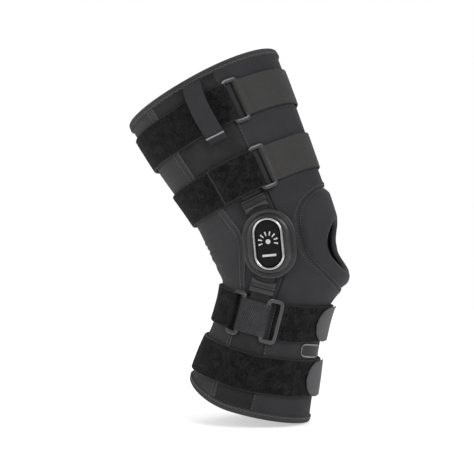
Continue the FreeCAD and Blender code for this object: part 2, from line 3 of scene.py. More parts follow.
import bpy
import numpy as np
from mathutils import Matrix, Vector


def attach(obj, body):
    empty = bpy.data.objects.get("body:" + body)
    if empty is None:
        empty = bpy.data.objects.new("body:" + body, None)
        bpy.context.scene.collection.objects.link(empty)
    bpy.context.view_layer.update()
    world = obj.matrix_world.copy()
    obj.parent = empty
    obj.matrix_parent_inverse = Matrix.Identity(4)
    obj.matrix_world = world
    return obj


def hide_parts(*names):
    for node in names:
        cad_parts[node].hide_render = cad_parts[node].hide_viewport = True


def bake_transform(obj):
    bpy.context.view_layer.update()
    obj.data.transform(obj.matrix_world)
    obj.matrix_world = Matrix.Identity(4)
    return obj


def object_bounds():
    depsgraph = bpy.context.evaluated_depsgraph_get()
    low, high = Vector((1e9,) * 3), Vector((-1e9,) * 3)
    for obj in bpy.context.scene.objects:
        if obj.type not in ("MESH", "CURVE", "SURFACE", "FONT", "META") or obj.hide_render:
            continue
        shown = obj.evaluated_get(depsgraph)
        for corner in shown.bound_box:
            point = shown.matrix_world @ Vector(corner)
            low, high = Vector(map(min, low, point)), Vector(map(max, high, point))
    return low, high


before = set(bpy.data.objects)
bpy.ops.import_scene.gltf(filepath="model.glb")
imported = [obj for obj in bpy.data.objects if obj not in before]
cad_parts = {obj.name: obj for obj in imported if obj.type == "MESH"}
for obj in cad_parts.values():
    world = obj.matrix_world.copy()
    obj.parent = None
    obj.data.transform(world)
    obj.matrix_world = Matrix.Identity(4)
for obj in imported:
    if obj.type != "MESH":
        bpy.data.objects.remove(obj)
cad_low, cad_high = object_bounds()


# ---- studio -------------------------------------------------------------------------------
# A plain pale table in a white tent: soft light from all round, a large lamp from the front of
# the knee, a weaker one from behind it, and one across the back.
def linear(sheet_colour):
    """Linear red, green, blue and alpha of an sRGB hex colour."""
    parts = [int(sheet_colour[i:i + 2], 16) / 255 for i in (1, 3, 5)]
    return (*[p / 12.92 if p <= 0.04045 else ((p + 0.055) / 1.055) ** 2.4 for p in parts], 1.0)


def add(tree, kind, inputs=(), **settings):
    """Adds one shader node, sets its settings, and links or sets its inputs by name or number."""
    made = tree.nodes.new("ShaderNode" + kind)
    for name, value in settings.items():
        setattr(made, name, value)
    for socket, value in dict(inputs).items():
        if isinstance(value, bpy.types.NodeSocket):
            tree.links.new(value, made.inputs[socket])
        else:
            made.inputs[socket].default_value = value
    return made


def new_finish(name):
    """An empty node material, and its tree."""
    made = bpy.data.materials.new(name)
    made.use_nodes = True
    made.node_tree.nodes.clear()
    return made, made.node_tree


scene = bpy.context.scene
scene.view_settings.view_transform = "Standard"
world = bpy.data.worlds.new("white_tent")
world.use_nodes = True
world.node_tree.nodes.clear()
sky = add(world.node_tree, "Background", {"Color": linear("#FFFFFF"), "Strength": 0.42})
backdrop = add(world.node_tree, "Background", {"Color": linear("#FFFFFF"), "Strength": 1.0})
seen = add(world.node_tree, "LightPath").outputs["Is Camera Ray"]
tent = add(world.node_tree, "MixShader", {0: seen, 1: sky.outputs[0], 2: backdrop.outputs[0]})
add(world.node_tree, "OutputWorld", {"Surface": tent.outputs[0]})
scene.world = world

floor_mesh = bpy.data.meshes.new("table")
floor_half = 2.0
floor_level = cad_low.z - 0.0005
corners = np.array([(-1, -1), (1, -1), (1, 1), (-1, 1)]) * floor_half
floor_mesh.from_pydata(np.column_stack([corners, np.full(4, floor_level)]).tolist(), [], [(0, 1, 2, 3)])
floor = bpy.data.objects.new("table", floor_mesh)
scene.collection.objects.link(floor)
table_white, tree = new_finish("matt white laminate")
lit = add(tree, "BsdfPrincipled", {"Base Color": linear("#E6E6E6"), "Roughness": 0.9,
                                   "Specular IOR Level": 0.1, "Emission Strength": 0.5,
                                   "Emission Color": linear("#FFFFFF")})
add(tree, "OutputMaterial", {"Surface": lit.outputs[0]})
floor_mesh.materials.append(table_white)

lamps = (("key", (1.15, -1.35, 1.15), 0.9, 24), ("fill", (-1.5, -1.2, 0.9), 1.2, 13),
         ("back", (-0.3, 1.7, 1.2), 1.2, 16))
for lamp_name, place, size, watts in lamps:
    lamp_data = bpy.data.lights.new(lamp_name, "AREA")
    lamp_data.energy = watts
    lamp_data.size = size
    lamp = bpy.data.objects.new(lamp_name, lamp_data)
    lamp.location = place
    lamp.rotation_euler = (-lamp.location).to_track_quat("-Z", "Y").to_euler()
    scene.collection.objects.link(lamp)

camera_data = bpy.data.cameras.new("front three-quarter")
camera_data.lens = 93.3
camera_data.sensor_width = 36.0
camera = bpy.data.objects.new("front three-quarter", camera_data)
camera_turn = math.radians(11)
camera_target = np.array([-0.0458, 0.0, 0.0068])
camera.location = camera_target + 1.3 * np.array([math.sin(camera_turn), -math.cos(camera_turn), 0])
camera.rotation_euler = (math.pi / 2, 0, camera_turn)
scene.collection.objects.link(camera)
scene.camera = camera


# ---- sleeve ---------------------------------------------------------------------------------
# The wrap is 3.5 mm neoprene with a knitted nylon face. It is cut and sewn to the leg's form,
# so its cross-section changes from the thigh down and its centre line bends round the knee.
# Here one half ends and the next starts at the patella hole's middle, with no seam between them.
leg_rows = np.array([            # station, depth to the rear, depth to the front, half width, mm
    (183.0, 95.8, 78.2, 84.0), (120.0, 88.0, 72.8, 73.1), (54.0, 76.3, 65.8, 61.5),
    (20.0, 75.6, 63.2, 60.0), (-10.0, 72.0, 68.0, 60.0), (-25.0, 69.5, 74.0, 60.0),
    (-40.0, 63.0, 66.5, 60.0), (-54.0, 51.8, 62.3, 61.0), (-95.0, 51.0, 63.0, 61.0),
    (-130.0, 56.5, 67.0, 61.0), (-174.4, 61.5, 71.8, 61.0)])
housing_lean = 5.5
half_bend = 20.0
bend_radius = 110.0
arc_half = bend_radius * math.radians(half_bend)
pivot_half = 12.0                # half the spacing of a hinge's two pivots
pivot_station = arc_half - (bend_radius * math.tan(math.radians(half_bend))
                            - pivot_half / math.cos(math.radians(half_bend)))
thigh_lean = housing_lean + half_bend
calf_lean = housing_lean - half_bend
rim_top, rim_bottom = 183.0, -174.4
sleeve_wall = 3.5
front_seam = 76.5
millimetre = 0.001


def forward(lean):
    """Unit vectors to the front: cosine along X and sine along Z of the backward lean."""
    turn = np.radians(lean)
    return np.stack([np.cos(turn), 0 * turn, np.sin(turn)], -1)


def upward(lean):
    """Unit vectors up a leaning segment: minus sine along X and cosine along Z."""
    turn = np.radians(lean)
    return np.stack([-np.sin(turn), 0 * turn, np.cos(turn)], -1)


bend_apex = forward(housing_lean) * pivot_half * math.tan(math.radians(half_bend))
bend_centre = bend_apex - forward(housing_lean) * bend_radius / math.cos(math.radians(half_bend))
upper_pivot = upward(housing_lean) * pivot_half
lower_pivot = -upper_pivot


def ramp(value, start, end):
    """0 before start, 1 after end, and 3t^2 - 2t^3 of the share t between."""
    t = np.clip((value - start) / (end - start), 0, 1)
    return t * t * (3 - 2 * t)


def leg_form(station):
    """Rear depth, front depth and half width: cubic Hermite curves through the leg's rows."""
    at = np.clip(len(leg_rows) - 1 - np.searchsorted(leg_rows[::-1, 0], station), 0, len(leg_rows) - 2)
    before, after = np.vstack([leg_rows[:1], leg_rows[:-1]]), np.vstack([leg_rows[1:], leg_rows[-1:]])
    slope = (after - before)[:, 1:] / (after - before)[:, :1]
    gap = leg_rows[at + 1, :1] - leg_rows[at, :1]
    gap = gap.reshape(*np.shape(station), 1)
    low = leg_rows[at]
    high = leg_rows[at + 1]
    t = (np.asarray(station)[..., None] - low[..., :1]) / gap
    return (low[..., 1:] * (2 * t ** 3 - 3 * t ** 2 + 1) + slope[at] * gap * (t ** 3 - 2 * t ** 2 + t)
            + high[..., 1:] * (3 * t ** 2 - 2 * t ** 3) + slope[at + 1] * gap * (t ** 3 - t ** 2))


def on_leg(station, angle, lift):
    """Points in metres on the leg's form, at a station along it, an angle round it (0 front,
    minus lateral) and a lift off it. A section is two half ellipses; round the knee the front
    one is a superellipse of power 2.5. The lift goes along the section's normal."""
    station, angle, lift = np.broadcast_arrays(
        *[np.asarray(value, float) for value in (station, angle, lift)])
    bend = np.clip(station, -arc_half, arc_half)
    lean = housing_lean + np.degrees(bend / bend_radius)
    middle = bend_centre + forward(lean) * bend_radius + upward(lean) * (station - bend)[..., None]
    rear, front, half_width = np.moveaxis(leg_form(station), -1, 0)
    ahead, aside = np.cos(np.radians(angle)), np.sin(np.radians(angle))
    depth = np.where(ahead > 0, front, rear)
    power = 2 + np.where(ahead > 0, 0.5 * (1 - ramp(np.abs(station), arc_half / 2, 53)), 0)
    scale = (np.abs(ahead) ** power + np.abs(aside) ** power) ** (-1 / power)
    ahead, aside = ahead * scale, aside * scale
    normal_x = np.sign(ahead) * np.abs(ahead) ** (power - 1) / depth
    normal_y = np.sign(aside) * np.abs(aside) ** (power - 1) / half_width
    stretch = lift / np.hypot(normal_x, normal_y)
    across = np.stack([0 * station, half_width * aside + normal_y * stretch, 0 * station], -1)
    return (middle + forward(lean) * (depth * ahead + normal_x * stretch)[..., None] + across) * millimetre


def pocket(station, angle):
    """How far the pocket over an upright stands out: 5.4 mm on its flat, falling away each side."""
    off_side = np.abs(np.abs((angle + 180) % 360 - 180) - 90)
    share = (1 - ramp(off_side, 10, 24)) * (1 - ramp(station, 164, 176)) * (1 - ramp(-station, 151, 163))
    return 5.4 * share


def in_pocket_zone(station):
    """1 on the thigh and calf shells, where the pockets are, and 0 round the knee."""
    return np.maximum(ramp(station, 52.5, 53.6), ramp(-station, 55.5, 56.6))


def rear_seam(station):
    """Angle to the seam behind the pocket panel, from the front of the leg."""
    return np.interp(station, (-174, -50, 0, 18, 52, 90, 183), (113.6, 113, 112, 112.8, 119, 126.5, 127.3))


def top_rim(angle):
    return rim_top + 2.7 * np.cos(np.radians(angle))


def bottom_rim(angle):
    level = np.cos(np.radians(angle))
    return rim_bottom + np.where(level > 0, 2.0, 14.0) * level ** 2


hole_station, hole_half_width, hole_half_height = -5.4, 40.0, 29.5
panel_station, panel_half_angle, panel_half_height = 1.0, 61.3, 34.0
panel_power_above, panel_power_below = 3.2, 2.1
hole_lean = housing_lean + math.degrees(hole_station / bend_radius)


def hole_side():
    """Angle at which the surface is the hole's half width from the mid plane, by halving."""
    low, high = 20.0, 80.0
    for _ in range(40):
        middle = (low + high) / 2
        wide = on_leg(hole_station, middle, 0.0)[1] > hole_half_width * millimetre
        low, high = (low, middle) if wide else (middle, high)
    return low


hole_angle = hole_side()


def hole_edge(angle, half):
    """Stations of the patella hole's edge above (half 1) or below (-1) its middle. The hole is
    an ellipse seen from straight ahead; each column is solved by halving."""
    near = np.full(np.shape(angle), hole_station)
    far = near + half * 40.0
    origin = bend_centre + forward(hole_lean) * bend_radius
    for _ in range(36):
        middle = (near + far) / 2
        place = on_leg(middle, angle, 0.0) / millimetre
        tall = (place - origin) @ upward(hole_lean) * half
        wide = np.clip(np.abs(place[..., 1]) / hole_half_width, 0, 1)
        inside = tall < hole_half_height * np.sqrt(1 - wide ** 2)
        near, far = np.where(inside, middle, near), np.where(inside, far, middle)
    return np.where(np.abs(angle) < hole_angle, near, hole_station)


def knee_seam_gap(station, angle):
    """Signed distance in mm, roughly, from the padded panel's sewn outline: minus inside it. The
    outline is a superellipse, squarer above the knee cap than below it."""
    round_the_leg = (angle + 180) % 360 - 180
    power = np.where(station > panel_station, panel_power_above, panel_power_below)
    reach = ((np.abs(round_the_leg) / panel_half_angle) ** power
             + (np.abs(station - panel_station) / panel_half_height) ** power) ** (1 / power)
    return (reach - 1) * 40


def creases(station, angle):
    """Shallow folds in the cloth, mm: a few cosine waves across the hollow of the knee, fading
    to nothing at the sides, and a slight unevenness everywhere."""
    behind = ramp(np.abs((angle + 180) % 360 - 180), 118, 150)
    folds = sum(depth * np.exp(-((station - at + drift * np.sin(np.radians(angle * 2))) / wide) ** 2)
                for at, depth, wide, drift in ((12, -0.8, 4.5, 3), (-4, -1.0, 4.0, -2), (-19, -0.8, 4.5, 2),
                                               (28, -0.5, 5.0, -3), (-34, -0.5, 5.0, 3)))
    uneven = 0.16 * np.sin(station / 17 + angle / 21) * np.cos(angle / 13 - station / 29)
    return behind * folds + uneven


def sleeve_lift(station, angle):
    """Height of the sleeve's face off the plain form: pockets, sewn valleys and the pad's swell."""
    turn = np.abs((angle + 180) % 360 - 180)
    body = pocket(station, angle) * in_pocket_zone(station)
    for seam, deep, wide in ((front_seam, 1.5, 0.75), (rear_seam(station), 0.5, 1.4)):
        body = body - deep * np.exp(-((turn - seam) * girth_per_degree / wide) ** 2)
    gap = knee_seam_gap(station, angle)
    swell = 2.6 * ramp(-gap, 0.5, 6.0)
    groove = -1.9 * np.exp(-(gap / 1.5) ** 2) + 0.9 * np.exp(-((gap - 3.0) / 1.3) ** 2)
    return body + swell + groove + creases(station, angle)


def is_inside_out(points, quads):
    """Whether a closed skin's faces look inward: the sum over its quads a, b, c, d of
    (a x b) . c + (a x c) . d, six times its volume, is then negative."""
    a, b, c, d = [points[quads[:, corner]] for corner in range(4)]
    return (np.cross(a, b) * c).sum() + (np.cross(a, c) * d).sum() < 0


def skin(name, grid, uv=None, ring_u=False, faces_of=None):
    """Mesh from a grid of points whose second index runs once round a closed section. ring_u
    closes the first index too; otherwise each end is closed by quads from each point to its
    opposite. uv is a grid with one more row or column where the grid closes on itself."""
    count_u, count_v = grid.shape[:2]
    u = np.arange(count_u if ring_u else count_u - 1)
    v = np.arange(count_v)
    u, v = [index.ravel() for index in np.meshgrid(u, v, indexing="ij")]
    next_u, next_v = (u + 1) % count_u, (v + 1) % count_v
    quads = np.stack([u * count_v + v, next_u * count_v + v,
                      next_u * count_v + next_v, u * count_v + next_v], 1)
    corner_u = np.stack([u, u + 1, u + 1, u], 1)
    corner_v = np.stack([v, v, v + 1, v + 1], 1)
    if not ring_u:
        near = np.arange(count_v // 2 - 1)
        far = count_v - 1 - near
        for row, order in ((0, 1), (count_u - 1, -1)):
            cap = np.stack([near, near + 1, far - 1, far], 1)[:, ::order]
            quads = np.vstack([quads, cap + row * count_v])
            corner_u = np.vstack([corner_u, np.full_like(cap, row)])
            corner_v = np.vstack([corner_v, cap])
    points = grid.reshape(-1, 3)
    if is_inside_out(points, quads):
        quads, corner_u, corner_v = quads[:, ::-1], corner_u[:, ::-1], corner_v[:, ::-1]
    mesh = bpy.data.meshes.new(name)
    mesh.vertices.add(len(points))
    mesh.vertices.foreach_set("co", points.astype(np.float32).ravel())
    mesh.loops.add(quads.size)
    mesh.loops.foreach_set("vertex_index", quads.astype(np.int32).ravel())
    mesh.polygons.add(len(quads))
    mesh.polygons.foreach_set("loop_start", np.arange(0, quads.size, 4, dtype=np.int32))
    mesh.update(calc_edges=True)
    if uv is not None:
        layer = mesh.uv_layers.new(name="cloth")
        wrapped_u = np.minimum(corner_u, uv.shape[0] - 1)
        wrapped_v = np.minimum(corner_v, uv.shape[1] - 1)
        layer.data.foreach_set("uv", uv[wrapped_u, wrapped_v].astype(np.float32).ravel())
    mesh.polygons.foreach_set("use_smooth", np.ones(len(quads), bool))
    mesh.set_sharp_from_angle(angle=math.radians(42))
    made = bpy.data.objects.new(name, mesh)
    scene.collection.objects.link(made)
    if faces_of is not None:
        centre = points[quads].mean(1)
        mesh.polygons.foreach_set("material_index", faces_of(centre).astype(np.int32))
    mesh.update()
    return made


def station_and_angle(points):
    """Where points in metres lie on the leg: the station by the turn about the bend's centre, or
    by distance past its ends, and the angle round the section."""
    away = points / millimetre - bend_centre
    lean = np.degrees(np.arctan2(away[:, 2], away[:, 0]))
    bend = np.clip(bend_radius * np.radians(lean - housing_lean), -arc_half, arc_half)
    held = housing_lean + np.degrees(bend / bend_radius)
    past = (away * upward(held)).sum(1)
    station = np.where(np.abs(bend) < arc_half - 1e-9, bend, bend + past)
    rear, front, half_width = leg_form(station).T
    ahead = (away * forward(held)).sum(1) - bend_radius
    depth = np.where(ahead > 0, front, rear)
    return station, np.degrees(np.arctan2(points[:, 1] / millimetre / half_width, ahead / depth))


def follow_knee(piece):
    """Bakes a piece's transform into its mesh and reads its points into an array, which nothing
    uses."""
    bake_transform(piece)
    points = np.zeros(len(piece.data.vertices) * 3, np.float32)
    piece.data.vertices.foreach_get("co", points)


def knit_finish(name, light, dark, rows_mm, courses_mm, bump, roughness, sheen, mottle=0.25, weave="knit"):
    """Woven or knitted cloth drawn on the piece's own map in metres: two crossed waves at the
    thread spacing give the height, and slow and fine noise vary its tone between two colours.
    The same waves also darken the colour in the threads' valleys, as painted shade."""
    made, tree = new_finish(name)
    uv = add(tree, "UVMap", uv_map="cloth").outputs[0]
    split = add(tree, "SeparateXYZ", {0: uv})
    round_leg, along_leg = split.outputs[0], split.outputs[1]
    if weave == "twill":
        round_leg = add(tree, "Math", {0: round_leg, 1: along_leg}, operation="ADD").outputs[0]
    pitches = [2 * math.pi / (pitch * millimetre) for pitch in (rows_mm, courses_mm)]
    waves = []
    for axis, pitch in zip((round_leg, along_leg), pitches):
        turned = add(tree, "Math", {0: axis, 1: pitch}, operation="MULTIPLY").outputs[0]
        waves.append(add(tree, "Math", {0: turned}, operation="SINE").outputs[0])
    if weave == "knit":
        height = add(tree, "Math", {0: waves[0], 1: waves[1]}, operation="MULTIPLY").outputs[0]
    else:
        half = add(tree, "Math", {0: waves[1], 1: 0.35}, operation="MULTIPLY").outputs[0]
        height = add(tree, "Math", {0: waves[0], 1: half}, operation="ADD").outputs[0]
    place = add(tree, "TexCoord").outputs["Object"]
    slow = add(tree, "TexNoise", {"Vector": place, "Scale": 38.0, "Detail": 3.0, "Roughness": 0.55})
    fine = add(tree, "TexNoise", {"Vector": place, "Scale": 900.0, "Detail": 2.0})
    # thread: the waves' height put into the colour, so the valleys between threads are painted darker as
    # painted shade.
    thread = add(tree, "MapRange", {0: height, 1: -1.0, 2: 1.0, 3: -0.25, 4: 0.25}).outputs[0]
    slow_part = add(tree, "MapRange", {0: slow.outputs[0], 1: 0.3, 2: 0.7,
                                       3: 0.5 - mottle, 4: 0.5 + mottle}).outputs[0]
    fine_part = add(tree, "MapRange", {0: fine.outputs[0], 1: 0.25, 2: 0.75, 3: -0.2, 4: 0.2}).outputs[0]
    mixed = add(tree, "Math", {0: thread, 1: slow_part}, operation="ADD").outputs[0]
    mixed = add(tree, "Math", {0: mixed, 1: fine_part}, operation="ADD", use_clamp=True).outputs[0]
    colour = add(tree, "Mix", {0: mixed, 6: linear(dark), 7: linear(light)}, data_type="RGBA").outputs[2]
    relief = add(tree, "Math", {0: height, 1: fine_part}, operation="ADD").outputs[0]
    normal = add(tree, "Bump", {"Height": relief, "Strength": bump, "Distance": 0.0004}).outputs[0]
    cloth = add(tree, "BsdfPrincipled", {"Base Color": colour, "Roughness": roughness, "Normal": normal,
                                         "Sheen Weight": sheen, "Sheen Roughness": 0.5,
                                         "Specular IOR Level": 0.15})
    cloth.inputs["Sheen Tint"].default_value = linear("#8A898C")
    add(tree, "OutputMaterial", {"Surface": cloth.outputs[0]})
    return made


# Nylon jersey: matt, charcoal, its 0.4 mm courses drawn at 1 mm so that they show.
nylon_jersey = knit_finish("nylon jersey on neoprene", "#323133", "#272628", 1.3, 1.0, 0.18, 0.78, 0.12)
# Spacer mesh on the pockets: a darker face with an open dotted knit, its 1 mm holes at 1.9 mm.
spacer_mesh = knit_finish("spacer mesh", "#333233", "#1A191A", 1.9, 1.7, 0.55, 0.85, 0.1)
# Stretch lining behind the knee: softer and a little lighter, with fine ribs up the leg.
stretch_knit = knit_finish("popliteal stretch knit", "#3A393A", "#2D2C2E", 2.2, 6.0, 0.35, 0.8, 0.18,
                           weave="rib")
# Degrees from the front seam at which the sleeve's mesh has columns, so that its valley is crisp.
seam_columns = np.array([-1.5, -1.0, -0.6, -0.25, 0.25, 0.6, 1.0, 1.5, 2.2])
girth_per_degree = 1.15          # mm round the leg for a degree, on average


def sleeve_half(name, half):
    """One half of the wrap as a closed shell: outer face from the patella hole's middle to the
    rim, over the rim's end, and back down the lining, 3.5 mm further in."""
    share = np.linspace(-90, 90, 96)
    ahead = hole_angle * np.sin(np.radians(share))
    beside = np.concatenate([np.linspace(hole_angle, 74.5, 44)[1:], front_seam + seam_columns])
    behind = np.concatenate([beside, np.linspace(79.5, 280.5, 122), 360 - beside[::-1]])
    angle = np.concatenate([ahead, behind])
    start = hole_edge(angle, half)
    rim = top_rim(angle) - 1.2 if half > 0 else bottom_rim(angle) + 1.2
    mouth = 52.2 if half > 0 else -55.2
    knee = np.linspace(0, 1, 42)[:, None]
    knee_rows = start + (mouth - start) * knee
    lip = mouth + half * np.array([0.3, 0.6, 0.9, 1.2, 1.6])[:, None] + 0 * angle
    shell_start = mouth + half * 2.2
    shell_rows = shell_start + (rim - shell_start) * np.linspace(0, 1, 76)[:, None]
    station = np.vstack([knee_rows, lip, shell_rows])
    turned = np.broadcast_to(angle, station.shape)
    lift = sleeve_lift(station, turned)
    # Both faces draw together at the hole's edge, where the rim binding holds them.
    from_edge = np.abs(station - start) / 3.0
    drawn_in = np.where(np.abs(angle) < hole_angle, np.clip(1 - from_edge, 0, 1) ** 2, 0)
    lift = lift - 1.2 * drawn_in
    outer = on_leg(station, turned, lift)
    inner = on_leg(station, turned, -sleeve_wall + 1.0 * drawn_in)
    grid = np.vstack([outer, inner[::-1]]).transpose(1, 0, 2)
    girth = turned * girth_per_degree
    # The map runs round the leg and up it, in metres.
    both_faces = [np.vstack([girth, girth[::-1]]), np.vstack([station, station[::-1]])]
    uv = np.stack(both_faces, -1).transpose(1, 0, 2) * millimetre
    uv = np.concatenate([uv, uv[:1] + [360 * girth_per_degree * millimetre, 0]], 0)
    uv = np.concatenate([uv, uv[:, :1]], 1)

    def cloth_of(centre):
        """Which cloth a face is cut from: front panel, pocket panel or back panel."""
        at, turn = station_and_angle(centre)
        turn = np.abs(turn)
        pocketed = (at > 53) | (at < -56)
        return np.where(turn > rear_seam(at), 2, np.where((turn > front_seam) & pocketed, 1, 0))

    piece = skin(name, grid, uv, ring_u=True, faces_of=cloth_of)
    for cloth in (nylon_jersey, spacer_mesh, stretch_knit):
        piece.data.materials.append(cloth)
    follow_knee(piece)
    return piece


sleeve_upper = sleeve_half("sleeve_upper", 1)
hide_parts("thigh_front_panel", "thigh_back_panel", "thigh_side_lateral",
            "thigh_side_medial", "knee_front_panel", "knee_back_panel")
sleeve_lower = sleeve_half("sleeve_lower", -1)
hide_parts("calf_front_panel", "calf_back_panel", "calf_side_lateral",
            "calf_side_medial", "knee_side_lateral", "knee_side_medial")


# ---- rim bindings ------------------------------------------------------------------------------
# Each end of the sleeve is bound in a folded knit tape, 7 mm wide each side, held by a zigzag
# cover stitch near its edge.
binding_tape = knit_finish("knit binding tape", "#403F41", "#2C2B2C", 1.5, 9.0, 0.45, 0.8, 0.15, weave="rib")
# Bonded polyester thread: a little shinier and lighter than the cloth, so that it reads.
thread_finish, tree = new_finish("bonded polyester thread")
twist = add(tree, "TexWave", {"Vector": add(tree, "TexCoord").outputs["Object"], "Scale": 700.0},
            wave_type="BANDS", bands_direction="DIAGONAL")
strand = add(tree, "Mix", {0: twist.outputs[1], 6: linear("#454446"), 7: linear("#5C5B5D")},
             data_type="RGBA")
thread_node = add(tree, "BsdfPrincipled", {"Base Color": strand.outputs[2], "Roughness": 0.55})
add(tree, "OutputMaterial", {"Surface": thread_node.outputs[0]})


def stitches(name, starts, ends, outward, thick=0.42):
    """Threads from starts to ends as one mesh: each is a four-sided bar of four rings, full in
    the middle and drawn into the cloth at both ends."""
    along = ends - starts
    along_unit = along / np.linalg.norm(along, axis=-1, keepdims=True)
    side = np.cross(outward, along_unit)
    share = np.array([0.0, 0.3, 0.7, 1.0])[None, :, None, None]
    full = np.array([0.35, 1.0, 1.0, 0.35])[None, :, None, None] * thick * millimetre
    rise = np.array([-0.3, 0.35, 0.35, -0.3])[None, :, None, None] * thick * millimetre
    turn = np.radians([45, 135, 225, 315])[None, None, :, None]
    points = (starts[:, None, None] + along[:, None, None] * share + outward[:, None, None] * rise
              + (outward[:, None, None] * np.sin(turn) + side[:, None, None] * np.cos(turn)) * full)
    points = points.reshape(-1, 3)
    count = len(starts)
    ring = np.array([(r * 4 + k, r * 4 + (k + 1) % 4, r * 4 + 4 + (k + 1) % 4, r * 4 + 4 + k)
                     for r in range(3) for k in range(4)] + [(3, 2, 1, 0), (12, 13, 14, 15)])
    quads = (ring[None] + 16 * np.arange(count)[:, None, None]).reshape(-1, 4)
    mesh = bpy.data.meshes.new(name)
    mesh.from_pydata(points.tolist(), [], quads.tolist())
    mesh.polygons.foreach_set("use_smooth", np.ones(len(quads), bool))
    mesh.update()
    if is_inside_out(points, quads):
        mesh.flip_normals()
    mesh.materials.append(thread_finish)
    made = bpy.data.objects.new(name, mesh)
    scene.collection.objects.link(made)
    return made


def sewn(name, station, angle, lift, step=1, thick=0.42):
    """Stitches over the leg between neighbouring points, every one (zigzag) or every other."""
    places = on_leg(station, angle, lift)
    outward = on_leg(station, angle, lift + 1.0) - places
    outward /= np.linalg.norm(outward, axis=-1, keepdims=True)
    starts, ends = places[:-1:step], places[1::step]
    count = min(len(starts), len(ends))
    return stitches(name, starts[:count], ends[:count], outward[:-1:step][:count], thick)


def binding(name, rim, half, body, node):
    """Tape folded over the rim: a rounded flat section carried round the leg, 0.3 mm fuller
    between the stitches than at them."""
    angle = np.arange(0, 360, 1.0)[:, None]
    turn = np.radians(np.arange(0, 360, 12.0))[None, :]
    power = 0.55
    across = np.sign(np.cos(turn)) * np.abs(np.cos(turn)) ** power
    deep = np.sign(np.sin(turn)) * np.abs(np.sin(turn)) ** power
    puffed = 1 + 0.05 * np.cos(np.radians(angle * 60)) * (half * across < 0.3)
    station = rim(angle) - half * 3.5 + 3.5 * across
    lift = -1.75 + 3.0 * deep * puffed
    grid = on_leg(station, angle, lift)
    uv = np.stack(np.broadcast_arrays(np.arange(361)[:, None] * 1.35, np.arange(31)[None, :] * 0.7), -1)
    piece = skin(name, grid, uv * millimetre, ring_u=True)
    piece.data.materials.append(binding_tape)
    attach(piece, body)
    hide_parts(node)
    turn = np.arange(0, 360.1, 1.8)
    row = sewn(name + "_stitches", rim(turn) - half * (5.2 + 0.8 * np.where(np.arange(len(turn)) % 2, 1, -1)),
               turn, 1.32)
    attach(row, body)


binding("binding_top", top_rim, 1, "thigh", "top_binding")
binding("binding_bottom", bottom_rim, -1, "calf", "bottom_binding")


# ---- seams -------------------------------------------------------------------------------------
# A flat ribbed tape covers the seam behind each pocket panel, from rim to rim. The front seams
# are sewn flat with one row of thread, and the padded panel's outline with two.
rear_girth_per_degree = 1.3      # mm round the leg for a degree at the rear seam


def seam_tape(name, side, half):
    """Tape 9 mm wide and 0.6 mm thick over the rear seam, following the sleeve's own height."""
    limits = (hole_station, 175.0) if half > 0 else (-165.0, hole_station)
    station = np.linspace(*limits, 150)[:, None]
    across = np.array([-4.5, -4.2, -2.6, -0.9, 0.9, 2.6, 4.2, 4.5])
    across = np.concatenate([across, across[::-1]])[None, :]
    thick = np.array([0.0, 0.6, 0.66, 0.58, 0.58, 0.66, 0.6, 0.0] + [-0.2] * 8)[None, :]
    angle = side * (rear_seam(station) + across / rear_girth_per_degree)
    lift = sleeve_lift(station, angle) * 0.9 + 0.1 * sleeve_lift(station, side * rear_seam(station)) + thick
    uv = np.stack(np.broadcast_arrays(np.arange(17)[None, :] * 1.2, station), -1)
    piece = skin(name, on_leg(station, angle, lift), uv[..., ::-1] * millimetre)
    piece.data.materials.append(binding_tape)
    follow_knee(piece)
    count = int((limits[1] - limits[0]) / 2.2)
    along = np.linspace(*limits, count)
    for edge in (-3.1, 3.1):
        weave = edge + 0.7 * np.where(np.arange(count) % 2, 1, -1)
        turn = side * (rear_seam(along) + weave / rear_girth_per_degree)
        row = sewn(f"{name}_stitches_{'rear' if edge > 0 else 'front'}", along, turn,
                   sleeve_lift(along, turn) + 0.62, thick=0.34)
        follow_knee(row)


for side, word in ((-1, "lateral"), (1, "medial")):
    for half, place in ((1, "upper"), (-1, "lower")):
        seam_tape(f"seam_tape_{place}_{word}", side, half)
    for half, place, limits in ((1, "thigh", (55.0, 175.0)), (-1, "calf", (-166.0, -58.0))):
        along = np.arange(*limits, 1.7)
        turn = side * (front_seam - 1.9)
        row = sewn(f"front_seam_stitches_{place}_{word}", along, turn + 0 * along,
                   sleeve_lift(along, turn + 0 * along) + 0.05, step=2)
        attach(row, place)

for half, place in ((1, "upper"), (-1, "lower")):
    # The outline is sewn from side to side: angle and station go round the superellipse.
    power, start = panel_power_above, 0
    if half < 0:
        power = panel_power_below
        start = math.degrees(math.asin((panel_station - hole_station) / panel_half_height))
    turn = np.radians(np.arange(start, 180.1 - start, 0.55))
    for grow, row_name in ((0.965, "inner"), (1.045, "outer")):
        angle = panel_half_angle * grow * np.sign(np.cos(turn)) * np.abs(np.cos(turn)) ** (2 / power)
        tall = panel_half_height * grow * np.abs(np.sin(turn)) ** (2 / power)
        station = panel_station + half * tall
        keep = station >= hole_station if half > 0 else station <= hole_station
        angle, station = angle[keep], station[keep]
        step_long = np.linalg.norm(np.diff(on_leg(station, angle, 0.0), axis=0), axis=1).cumsum() / millimetre
        at = np.interp(np.arange(0, step_long[-1], 1.5), np.r_[0, step_long], np.arange(len(angle)))
        angle = np.interp(at, np.arange(len(angle)), angle)
        station = np.interp(at, np.arange(len(station)), station)
        row = sewn(f"knee_panel_stitches_{place}_{row_name}", station, angle,
                   sleeve_lift(station, angle) + 0.1, step=2)
        follow_knee(row)


